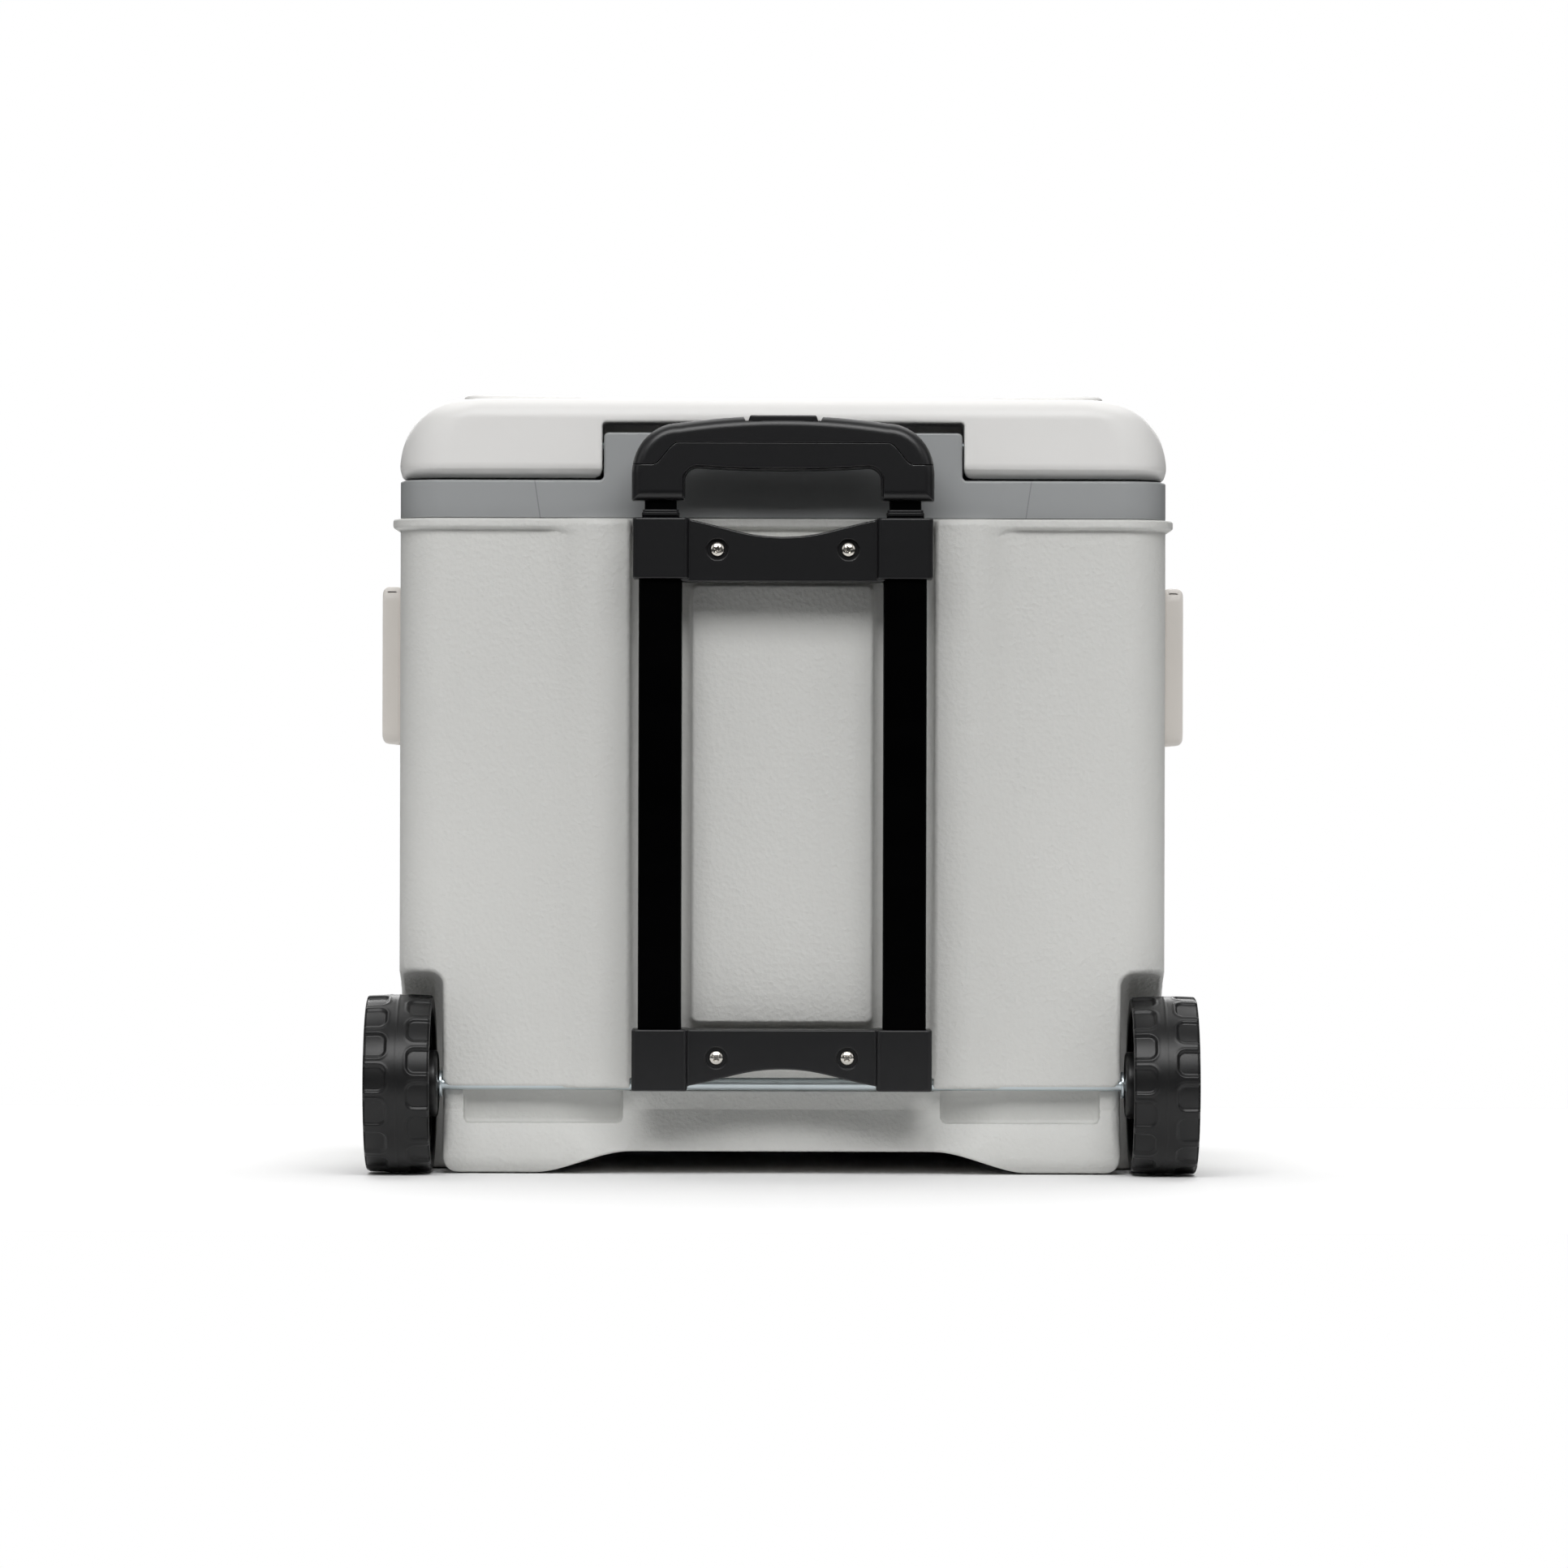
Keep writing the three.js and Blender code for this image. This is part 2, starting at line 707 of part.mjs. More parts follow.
// The lid's outline at a height above its base: elliptical ends, round long edges.
function lidRing(height) {
  const endRise = Math.max(0, height - (lidHeight - lidEndHeight));
  const edgeRise = Math.max(0, height - (lidHeight - lidEdge));
  const endIn = lidEndWidth * (1 - Math.sqrt(Math.max(0, 1 - (endRise / lidEndHeight) ** 2)));
  const edgeIn = lidEdge * (1 - Math.sqrt(Math.max(0, 1 - (edgeRise / lidEdge) ** 2)));
  const skirtIn = Math.max(0, (1 - height / skirtHeight) * skirtDepth);
  const half = lidHalf - endIn - skirtIn * skirtSides;
  const back = rear + edgeIn + skirtIn;
  const ahead = front - edgeIn - skirtIn * skirtSides;
  return ring(-half, half, back, ahead, lidCorner - edgeIn / 2, lidBase + height, 5);
}

// The outline of the lid's foam space at its mouth or at its narrower roof, shrunk by an inset.
function lidSpaceRing(inset, z, atRoof) {
  const half = lidHalf - inset - (atRoof ? lidEndWidth : lidSpaceInset);
  const ahead = front - inset - (atRoof ? lidEdge : 2 * lidWall);
  return ring(-half, half, notchFront + lidWall + inset, ahead, lidSpaceCorner - inset, z);
}

function lidCover() {
  const ends = Array.from({ length: lidEndSteps }, (_, i) => {
    const turn = (((i + 1) / lidEndSteps) * Math.PI) / 2;
    return lidHeight - lidEndHeight * (1 - Math.sin(turn));
  });
  const outside = loft([0, skirtHeight, ...ends].map(lidRing));
  const panelHalf = lidHalf - panelEndInset;
  const panelRing = (inset, z) =>
    ring(
      -panelHalf + inset,
      panelHalf - inset,
      rear + panelInset + inset,
      front - panelInset - inset,
      panelCorner - inset,
      z,
    );
  const panel = loft([panelRing(0, lidTop - over), panelRing(panelEdge, lidTop + panelHeight)]);
  const space = loft([
    lidSpaceRing(0, lidBase - over, false),
    lidSpaceRing(0, lidBase + lidSpaceHeight, false),
    lidSpaceRing(0, lidTop - lidRoof, true),
  ]);
  const notch = block(-notchHalf, notchHalf, rear - reach, notchFront, lidBase - reach, notchRoof);
  const pinEnd = riserWidth / 2 + hingePinLength / 2 + runGap;
  const pinHole = bar("x", hingePinRadius + runGap, -pinEnd, pinEnd, [hingeY, hingeZ], 16);
  return cut(join(outside, panel), space, notch, pinHole);
}

place("lid_cover", lidCover(), lidWhite());

function lidInnerPanel() {
  const plate = loft([lidSpaceRing(gap, lidBase, false), lidSpaceRing(gap, lidBase + linerWall, false)]);
  const plugRing = (margin, z) => linerRing(-linerWall - plugGap - margin, z);
  const plugLow = lidBase - plugDepth;
  const plug = loft([
    plugRing(plugEdge, plugLow),
    plugRing(0, plugLow + plugEdge),
    plugRing(0, lidBase + over),
  ]);
  const hollow = loft([
    plugRing(linerWall + plugEdge, plugLow + linerWall),
    plugRing(linerWall, plugLow + linerWall + plugEdge),
    plugRing(linerWall, lidBase + linerWall + over),
  ]);
  return cut(join(plate, plug), hollow);
}

place("lid_liner", lidInnerPanel(), linerWhite());

function lidFoam() {
  const low = lidBase + linerWall + gap;
  return loft([
    lidSpaceRing(gap, low, false),
    lidSpaceRing(gap, lidBase + lidSpaceHeight - gap, false),
    lidSpaceRing(gap * 3, lidTop - lidRoof - gap, true),
  ]);
}

place("lid_foam", lidFoam(), foamCream());

// ---------- Wheels and axle ----------

const wheelOuter = wheelInner + wheelWidth;
const washerInner = wellWall + gap;
const nutInner = wheelOuter - hubCapDepth - nutThickness + nutRoom;
const axleEnd = nutInner + nutThickness;

place("axle", bar("x", axleRadius, -axleEnd, axleEnd, [axleY, axleZ], 16), zinc());

// A flat ring round the axle.
function collarOnAxle(radius, bore, from, to, sides = 24) {
  return cut(
    bar("x", radius, from, to, [axleY, axleZ], sides),
    bar("x", bore, from - over, to + over, [axleY, axleZ], 16),
  );
}

const washer = collarOnAxle(washerRadius, hubBore, washerInner, washerInner + washerThickness);
placePair("axle_washer", washer, zinc);
placePair("axle_push_nut", collarOnAxle(nutRadius, axleRadius + gap, nutInner, axleEnd, 12), zinc);

// The tread: a drum with crowned shoulders.
function treadRing() {
  const r = wheelRadius;
  const inner = r - treadThickness;
  const half = wheelWidth / 2;
  const middle = wheelInner + half;
  const profile = [
    [inner, -half + 2],
    [r - 3, -half],
    [r - 0.6, -half + 4],
    [r, 0],
    [r - 0.6, half - 4],
    [r - 3, half],
    [inner, half - 2],
    [inner, -half + 2],
  ].map(([radius, along]) => new THREE.Vector2(radius, along));
  const drum = new THREE.LatheGeometry(profile, wheelSides).rotateZ(-Math.PI / 2);
  return toSolid(drum.translate(middle, axleY, axleZ));
}

placePair("wheel_tread", treadRing(), wheelBlack);

// The core: rim, spokes and a hub with a boss on the inner side.
function wheelCore() {
  const seat = wheelRadius - treadThickness - gap;
  const half = wheelWidth / 2;
  const middle = wheelInner + half;
  const rim = cut(
    bar("x", seat, wheelInner + rimInset, wheelOuter - rimInset, [axleY, axleZ], wheelSides),
    bar("x", seat - rimThickness, wheelInner, wheelOuter, [axleY, axleZ], 24),
  );
  const hubStart = wheelInner - hubBossDepth;
  const hub = bar("x", hubBoss, hubStart, wheelOuter - hubCapDepth - over, [axleY, axleZ], 20);
  const web = bar("x", seat - over, middle - webThickness / 2, middle + webThickness / 2, [axleY, axleZ], 24);
  const spokes = Array.from({ length: spokeCount }, (_, i) => {
    const spokeWidth = wheelWidth - 2 * (hubCapDepth + over);
    const spoke = new THREE.BoxGeometry(spokeWidth, seat - hubBoss, spokeThickness);
    spoke.translate(0, (seat + hubBoss) / 2 - over, 0).rotateX((i * 2 * Math.PI) / spokeCount);
    return toSolid(spoke.translate(middle, axleY, axleZ));
  });
  const bore = bar("x", hubBore, hubStart - over, wheelOuter, [axleY, axleZ], 16);
  const nutPocket = bar("x", nutRadius + nutRoom, nutInner - nutRoom, wheelOuter, [axleY, axleZ], 16);
  return cut(join(rim, hub, web, ...spokes), bore, nutPocket);
}

placePair("wheel_core", wheelCore(), wheelBlack);

function hubCap() {
  const start = wheelOuter - hubCapDepth - over / 2;
  const shape = [
    [0, 0],
    [hubCapRadius, 0],
    [hubCapRadius, hubCapDepth - hubCapEdge],
    [hubCapRadius - hubCapEdge, hubCapDepth - 1],
    [0, hubCapDepth],
  ].map(([radius, along]) => new THREE.Vector2(radius, along));
  const cap = new THREE.LatheGeometry(shape, 32).rotateZ(-Math.PI / 2).translate(start + gap, axleY, axleZ);
  const room = bar("x", nutRadius + nutRoom, start - over, axleEnd + nutRoom, [axleY, axleZ], 16);
  return cut(toSolid(cap), room);
}

placePair("hub_cap", hubCap(), satinBlack);

// ---------- Trolley tubes ----------

function tubeOutline(width, depth, radius) {
  const half = width / 2;
  const deep = depth / 2;
  return roundedOutline(tubeSpacing - half, tubeSpacing + half, tubeY - deep, tubeY + deep, radius);
}

function tube(width, depth, low, high) {
  const outside = alongZ(tubeOutline(width, depth, tubeCorner), low, high, 2);
  const bore = tubeOutline(width - 2 * tubeWall, depth - 2 * tubeWall, tubeCorner - tubeWall + 0.1);
  return cut(outside, alongZ(bore, low - over, high + over, 2));
}

const middleTubeFoot = outerTubeFoot + middleTubeRise;
const innerTubeFoot = middleTubeFoot + innerTubeRise;
const middleTubeTop = outerTubeTop + middleTubeProud;
const innerTubeTop = gripFoot + tubeInGrip;
const ferruleTop = middleTubeTop + ferruleHeight;

placePair("outer_tube", tube(outerTubeWidth, outerTubeDepth, outerTubeFoot, outerTubeTop), tubeBlack);
placePair("middle_tube", tube(middleTubeWidth, middleTubeDepth, middleTubeFoot, middleTubeTop), tubeBlack);
placePair("inner_tube", tube(innerTubeWidth, innerTubeDepth, innerTubeFoot, innerTubeTop), tubeBlack);

// The ferrule caps the middle tube and guides the inner one.
function ferrule() {
  const outline = tubeOutline(middleTubeWidth, middleTubeDepth, tubeCorner);
  const outside = alongZ(outline, middleTubeTop + gap, ferruleTop, 2);
  const bore = tubeOutline(innerTubeWidth + 2 * gap, innerTubeDepth + 2 * gap, tubeCorner);
  return cut(outside, alongZ(bore, middleTubeTop - over, ferruleTop + over, 2));
}

placePair("tube_ferrule", ferrule(), satinBlack);

// A slide plug closes the foot of a tube, with a hole for the release rod.
function slidePlug(width, depth, foot) {
  const wide = width - 2 * tubeWall - 2 * gap;
  const deep = depth - 2 * tubeWall - 2 * gap;
  const body = alongZ(tubeOutline(wide, deep, 1), foot, foot + plugHeight, 2);
  return cut(body, bar("z", rodRadius + gap, foot - over, foot + plugHeight + over, [tubeSpacing, tubeY], 8));
}

placePair("inner_tube_plug", slidePlug(innerTubeWidth, innerTubeDepth, innerTubeFoot), satinBlack);

// ---------- Brackets ----------

// The sleeves wrap the outer tubes; the web between them is hollow behind, with a boss for each screw.
function bracket(sleeveLow, sleeveHigh, webOutline, hollowOutline, screwLevel) {
  const sleeve = alongZ(
    roundedOutline(tubeSpacing - sleeveHalf, bracketHalf, bracketRear, bracketBack, 3),
    sleeveLow,
    sleeveHigh,
    3,
  );
  const web = alongY(webOutline, webFace, bracketBack, 6);
  const hollow = alongY(hollowOutline, webFace + bracketWall, bracketBack + over, 6);
  const tubeBore = alongZ(
    tubeOutline(outerTubeWidth + 2 * gap, outerTubeDepth + 2 * gap, tubeCorner + gap),
    Math.max(sleeveLow - over, outerTubeFoot - gap),
    sleeveHigh + over,
    3,
  );
  const sides = [-1, 1].map((side) => [side * bracketScrewSpacing, screwLevel]);
  const bosses = sides.map((at) => bar("y", screwBossRadius, webFace + over, bracketBack, at, 16));
  const holes = sides.flatMap((at) => [
    bar("y", counterboreRadius, webFace - over, webFace + counterboreDepth, at, 16),
    bar("y", screwShankRadius + gap, webFace - over, bracketBack + over, at, 8),
  ]);
  const shell = join(cut(web, hollow), sleeve, mirrored(sleeve), ...bosses);
  return cut(shell, tubeBore, mirrored(tubeBore), ...holes);
}

const webHalf = tubeSpacing - sleeveHalf + over;
// The upper web: its top edge sags between the sleeves.
function upperWeb(inset) {
  const half = webHalf - inset;
  const top = upperBracketHigh - inset;
  const shape = new THREE.Shape();
  shape.moveTo(-half, upperBracketWebLow + inset);
  shape.lineTo(half, upperBracketWebLow + inset);
  shape.lineTo(half, top);
  shape.quadraticCurveTo(0, top - 2 * upperBracketSag, -half, top);
  return shape;
}

// The lower web: its bottom edge arches between the sleeves.
function lowerWeb(inset) {
  const half = webHalf - inset;
  const foot = lowerBracketLow + lowerWebRise + inset;
  const shape = new THREE.Shape();
  shape.moveTo(-half, lowerBracketWebHigh - inset);
  shape.lineTo(-half, foot);
  shape.quadraticCurveTo(0, foot + 2 * lowerBracketArch, half, foot);
  shape.lineTo(half, lowerBracketWebHigh - inset);
  return shape;
}

const upperBracket = bracket(
  upperBracketLow,
  upperBracketHigh,
  upperWeb(0),
  upperWeb(bracketWall),
  screwLevelUpper,
);
const lowerBracket = bracket(
  lowerBracketLow,
  lowerBracketHigh,
  lowerWeb(0),
  lowerWeb(bracketWall),
  screwLevelLower,
);
place("upper_bracket", upperBracket, satinBlack());
place("lower_bracket", lowerBracket, satinBlack());

function bracketScrew(x, z) {
  const seat = webFace + counterboreDepth - gap;
  const head = bar("y", screwHeadRadius, seat - screwHeadHeight, seat, [x, z], 16);
  const shank = bar("y", screwShankRadius, seat - over, screwEnd, [x, z], 8);
  const top = seat - screwHeadHeight;
  const recess = [
    [screwSlotReach, screwSlotHalf],
    [screwSlotHalf, screwSlotReach],
  ].map(([wide, tall]) => block(x - wide, x + wide, top - over, top + screwSlotDepth, z - tall, z + tall));
  return cut(join(head, shank), ...recess);
}

placePair("bracket_screw_upper", bracketScrew(bracketScrewSpacing, screwLevelUpper), zinc);
placePair("bracket_screw_lower", bracketScrew(bracketScrewSpacing, screwLevelLower), zinc);

// ---------- Grip ----------

function gripOutline() {
  const gapHalf = gripHalf - gripLeg;
  const gapTop = gripTop - gripBar;
  const shoulder = gripHalf - gripShoulderWidth;
  const level = gripTop - gripShoulderHeight;
  const shape = new THREE.Shape();
  shape.moveTo(-gripHalf, gripFoot);
  shape.lineTo(-gapHalf, gripFoot);
  shape.lineTo(-gapHalf, gapTop - gripInnerCorner);
  shape.quadraticCurveTo(-gapHalf, gapTop, -gapHalf + gripInnerCorner, gapTop);
  shape.lineTo(gapHalf - gripInnerCorner, gapTop);
  shape.quadraticCurveTo(gapHalf, gapTop, gapHalf, gapTop - gripInnerCorner);
  shape.lineTo(gapHalf, gripFoot);
  shape.lineTo(gripHalf, gripFoot);
  shape.lineTo(gripHalf, level);
  shape.absellipse(shoulder, level, gripShoulderWidth, gripShoulderHeight, 0, Math.PI / 2);
  shape.quadraticCurveTo(0, gripTop + 2 * gripCrown, -shoulder, gripTop);
  shape.absellipse(-shoulder, level, gripShoulderWidth, gripShoulderHeight, Math.PI / 2, Math.PI);
  return shape;
}

// Everything above the parting line, raised or lowered by a shift.
function aboveParting(shift) {
  const outline = polygon([
    [-gripHalf - reach, partingEnd + shift],
    [-partingRun, partingEnd + shift],
    [-partingFlat, partingMiddle + shift],
    [partingFlat, partingMiddle + shift],
    [partingRun, partingEnd + shift],
    [gripHalf + reach, partingEnd + shift],
    [gripHalf + reach, gripTop + reach],
    [-gripHalf - reach, gripTop + reach],
  ]);
  return alongY(outline, gripRear - over, gripFront + over);
}

function gripHalves() {
  const whole = alongY(gripOutline(), gripRear, gripFront, 7);
  const rodClear = rodRadius + runGap;
  const linkRoom = block(
    -tubeSpacing - rodClear - over,
    tubeSpacing + rodClear + over,
    tubeY - linkDepth / 2 - runGap,
    tubeY + linkDepth / 2 + runGap,
    linkLevel - buttonTravel - over,
    linkTop + runGap,
  );
  const buttonWell = block(
    -buttonHalf - runGap,
    buttonHalf + runGap,
    tubeY - buttonDepth / 2 - runGap,
    tubeY + buttonDepth / 2 + runGap,
    linkLevel - buttonTravel - over,
    gripTop + reach,
  );
  const springFoot = linkLevel - springLength - gap;
  const springWell = bar("z", springRadius + springRoom, springFoot, linkLevel, [0, tubeY], 12);
  const socket = tubeOutline(innerTubeWidth + 2 * gap, innerTubeDepth + 2 * gap, tubeCorner + gap);
  const tubeSocket = alongZ(socket, gripFoot - over, innerTubeTop + gap, 3);
  const rodHole = bar("z", rodClear, innerTubeTop - over, linkLevel, [tubeSpacing, tubeY], 12);
  const sides = [tubeSocket, rodHole];
  const rooms = [linkRoom, buttonWell, springWell, ...sides, ...sides.map(mirrored)];
  const upper = whole.intersect(aboveParting(gap / 2));
  return [cut(whole, aboveParting(-gap / 2), ...rooms), cut(upper, ...rooms)];
}

const [gripLower, gripUpper] = gripHalves();
place("grip_lower_shell", gripLower, satinBlack());
place("grip_upper_shell", gripUpper, satinBlack());

// ---------- Release button, link and spring ----------

const buttonTop = gripTop + gripCrown;
const buttonOutline = polygon([
  [-buttonHalf, linkTop + gap],
  [buttonHalf, linkTop + gap],
  [buttonHalf, buttonTop - buttonEdge],
  [buttonHalf - buttonEdge, buttonTop],
  [-buttonHalf + buttonEdge, buttonTop],
  [-buttonHalf, buttonTop - buttonEdge],
]);
const button = alongY(buttonOutline, tubeY - buttonDepth / 2, tubeY + buttonDepth / 2);
place("release_button", button, satinBlack());

function releaseLink() {
  const half = tubeSpacing + rodRadius;
  const beam = block(-half, half, tubeY - linkDepth / 2, tubeY + linkDepth / 2, linkLevel, linkTop);
  const rodFoot = innerTubeFoot + plugHeight - rodInPlug;
  const rod = bar("z", rodRadius, rodFoot, linkLevel + over, [tubeSpacing, tubeY], 8);
  return join(beam, rod, mirrored(rod));
}

place("release_link", releaseLink(), zinc());

class Helix extends THREE.Curve {
  constructor(radius, low, length, turns) {
    super();
    Object.assign(this, { radius, low, length, turns });
  }

  getPoint(t, target = new THREE.Vector3()) {
    const angle = t * this.turns * 2 * Math.PI;
    const along = this.low + t * this.length;
    return target.set(this.radius * Math.cos(angle), tubeY + this.radius * Math.sin(angle), along);
  }
}

function coilSpring() {
  const wireHalf = springWire / 2;
  const low = linkLevel - springLength + wireHalf;
  const path = new Helix(springRadius - wireHalf, low, springLength - 2 * wireHalf - gap, springTurns);
  const wire = new THREE.Shape();
  wire.absarc(0, 0, wireHalf, 0, 2 * Math.PI);
  const settings = { steps: springTurns * 10, curveSegments: 2, extrudePath: path };
  return toSolid(new THREE.ExtrudeGeometry(wire, settings));
}

place("button_spring", coilSpring(), zinc());

// ---------- Side handles ----------

const bailMiddle = (wallRear + wallFront) / 2;
const bailTop = bodyHeight - bailBelowRim;
const bailInner = bodyHalf + plateThickness + gap * 2;
const bailOuter = bailInner + bailThickness;
const bailPivotX = bailInner + bailThickness / 2;
const bailPivotZ = bailTop - bailThickness / 2; // the arm's round end turns clear of the plate
const bailLow = bailTop - bailHeight;
const lugRadius = bailThickness / 2 - over;

// The plate that carries the handle, with one pivot lug inside each arm.
function handlePlate() {
  const half = bailWidth / 2 + plateMargin;
  const outline = roundedOutline(
    bailMiddle - half,
    bailMiddle + half,
    bailLow - plateMargin,
    bailTop + plateMargin,
    bailCorner + plateMargin,
  );
  const plate = alongX(outline, bodyHalf + gap, bodyHalf + plateThickness);
  const lugs = [-1, 1].flatMap((side) => {
    const outer = bailMiddle + side * (bailWidth / 2 - bailArm - lugGap);
    const inner = outer - side * lugThickness;
    const pinEnd = outer + side * (bailArm - pinShort);
    const [low, high] = [Math.min(inner, outer), Math.max(inner, outer)];
    const boss = bar("y", lugRadius, low, high, [bailPivotX, bailPivotZ], 20);
    const root = block(
      bodyHalf + plateThickness - over,
      bailPivotX,
      low,
      high,
      bailPivotZ - lugRadius,
      bailPivotZ + lugRadius,
    );
    const pin = bar(
      "y",
      bailPivotRadius,
      Math.min(outer - side, pinEnd),
      Math.max(outer - side, pinEnd),
      [bailPivotX, bailPivotZ],
      16,
    );
    return [boss, root, pin];
  });
  return join(plate, ...lugs);
}

placePair("side_handle_plate", handlePlate(), handleGrey);

// A swing-up bail: two arms and a grip bar, hanging flat against its plate.
function sideBail() {
  const side = alongY(
    roundedOutline(bailInner, bailOuter, bailLow, bailTop, bailCorner),
    bailMiddle - bailWidth / 2,
    bailMiddle + bailWidth / 2,
  );
  const window = block(
    bailInner - over,
    bailOuter + over,
    bailMiddle - bailWidth / 2 + bailArm,
    bailMiddle + bailWidth / 2 - bailArm,
    bailLow + bailGrip,
    bailTop + over,
  );
  const holes = [-1, 1].map((end) => {
    const outer = bailMiddle + end * (bailWidth / 2 - bailArm - over);
    const deep = bailMiddle + end * (bailWidth / 2 - pinHoleShort);
    const [low, high] = [Math.min(outer, deep), Math.max(outer, deep)];
    return bar("y", bailPivotRadius + runGap, low, high, [bailPivotX, bailPivotZ], 16);
  });
  return cut(side, window, ...holes);
}

placePair("side_handle", sideBail(), handleGrey);

// ---------- Drain ----------

function drainFitting() {
  const inner = linerHalf - linerDraft - linerWall - drainTubeProud;
  const tubePart = bar("x", drainTube, inner, bodyHalf + over, drainAt, 24);
  const flange = bar("x", drainFlange, bodyHalf + gap, bodyHalf + drainFlangeThickness, drainAt, 32);
  return cut(join(tubePart, flange), bar("x", drainBore, inner - over, bodyHalf + reach, drainAt, 24));
}

const gasketStart = bodyHalf + drainFlangeThickness + gap;
const capStart = gasketStart + drainGasketThickness + gap;

function drainGasket() {
  const gasketEnd = gasketStart + drainGasketThickness;
  const outside = bar("x", drainCapRadius - over, gasketStart, gasketEnd, drainAt, 24);
  return cut(outside, bar("x", drainBore, gasketStart - over, capStart, drainAt, 24));
}

function drainCap() {
  const knob = bar("x", drainCapRadius, capStart, capStart + drainCapLength, drainAt, 24);
  const plug = bar("x", drainBore - 2 * gap, capStart - drainPlugLength, capStart + over, drainAt, 24);
  const flats = [-1, 1].map((side) => {
    const edge = drainHeight + side * drainTabHalf;
    const far = drainHeight + side * reach;
    const [low, high] = [Math.min(edge, far), Math.max(edge, far)];
    return block(capStart + drainCapBase, capStart + reach, drainY - reach, drainY + reach, low, high);
  });
  return cut(join(knob, plug), ...flats);
}

place("drain_fitting", drainFitting(), handleGrey());
place("drain_gasket", drainGasket(), rubberBlack());
place("drain_cap", drainCap(), satinBlack());

export default cooler;
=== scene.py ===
# %% [markdown]
# # A hard cooler on wheels
# This lesson dresses a finished mechanical model of a hard cooler: a pebbled tub, a smooth lid, a grey
# collar, two wheels and a telescoping trolley handle. The mechanical model is loaded as a fixed frame, and
# each visible piece is made again with the soft edges and the surface that its real moulding has.
#
# Everything is worked out in millimetres, because moulds are drawn in millimetres, and turned to metres
# only when a mesh is handed to Blender.

import math
from functools import reduce

import bpy
import numpy as np
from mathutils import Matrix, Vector


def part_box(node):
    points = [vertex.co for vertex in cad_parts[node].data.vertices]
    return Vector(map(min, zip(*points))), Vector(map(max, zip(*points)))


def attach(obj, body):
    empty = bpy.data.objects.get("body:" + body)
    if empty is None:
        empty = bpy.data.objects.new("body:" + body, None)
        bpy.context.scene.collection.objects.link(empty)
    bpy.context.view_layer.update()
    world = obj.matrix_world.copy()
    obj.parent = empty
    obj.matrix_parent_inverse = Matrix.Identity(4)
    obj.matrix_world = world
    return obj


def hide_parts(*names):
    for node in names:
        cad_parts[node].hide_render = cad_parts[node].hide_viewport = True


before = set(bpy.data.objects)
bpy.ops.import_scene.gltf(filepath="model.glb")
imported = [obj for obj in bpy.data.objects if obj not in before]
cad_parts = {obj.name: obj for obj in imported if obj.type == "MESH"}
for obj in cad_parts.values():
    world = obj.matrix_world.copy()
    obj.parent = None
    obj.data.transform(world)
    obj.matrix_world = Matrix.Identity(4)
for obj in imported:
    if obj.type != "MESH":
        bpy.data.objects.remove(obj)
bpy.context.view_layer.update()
MM = 0.001


def box_mm(node):
    """The lowest and highest corner of a CAD node, in millimetres."""
    low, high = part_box(node)
    return [v / MM for v in low], [v / MM for v in high]


def middle(low, high, axis):
    return (low[axis] + high[axis]) / 2


# %% [markdown]
# ## Shaping like clay
# A moulded piece has no sharp edge anywhere: plastic can't fill one. Bevelling a mesh with dozens of cuts
# is fragile, so each shape is written instead as a distance: a formula that is below zero inside the
# piece, zero on its skin and above zero outside. Two distances join or cut with an edge of any radius, the
# way a thumb rounds clay, and a mesh is wrapped round the zero at the end.


# %% Distances
def rect(u, v, u0, u1, v0, v1, corner=0.0):
    """Distance in a plane to a rectangle with round corners."""
    du = abs(u - (u0 + u1) / 2) - ((u1 - u0) / 2 - corner)
    dv = abs(v - (v0 + v1) / 2) - ((v1 - v0) / 2 - corner)
    return np.hypot(np.maximum(du, 0), np.maximum(dv, 0)) + np.minimum(np.maximum(du, dv), 0) - corner


def between(w, low, high):
    """Distance to the space between two planes."""
    return abs(w - (low + high) / 2) - (high - low) / 2


def both(*shapes):
    """Inside every shape, with sharp edges where they meet."""
    return reduce(np.maximum, shapes)


def either(*shapes):
    """Inside any of the shapes, with a sharp corner where they meet."""
    return reduce(np.minimum, shapes)


def disc(u, v, cu, cv, radius):
    return np.hypot(u - cu, v - cv) - radius


def within(a, b, radius=0.01):
    """Inside both shapes, with the edge between them rounded."""
    return np.minimum(-radius, np.maximum(a, b)) + np.hypot(
        np.maximum(radius + a, 0), np.maximum(radius + b, 0)
    )


def joined(a, b, radius=0.01):
    """Inside either shape, with a fillet where they meet."""
    return np.maximum(radius, np.minimum(a, b)) - np.hypot(
        np.maximum(radius - a, 0), np.maximum(radius - b, 0)
    )


def carved(a, b, radius=0.01):
    """The first shape with the second taken out, and the rim of the cut rounded."""
    return within(a, -b, radius)


def ellipse(u, v, cu, cv, half_u, half_v):
    """Roughly the distance to an ellipse."""
    k = np.hypot((u - cu) / half_u, (v - cv) / half_v)
    slope = np.hypot((u - cu) / half_u**2, (v - cv) / half_v**2)
    return (k - 1) * k / np.maximum(slope, 1e-6)


print("rounded corner check:", round(float(rect(10.0, 10.0, -10, 10, -10, 10, 4)), 3), "mm outside")

# %% [markdown]
# ## From distance to mesh
# The distance is measured on a grid of lines, close together near edges and far apart on flats. Each grid
# cell that the skin passes through gets one vertex, and each grid edge that it crosses gets one quad: a
# method called surface nets. The vertices are then pulled exactly on to the skin along its slope, and the
# same slope is stored as the shading normal, so flats stay flat and small radii catch a clean highlight.


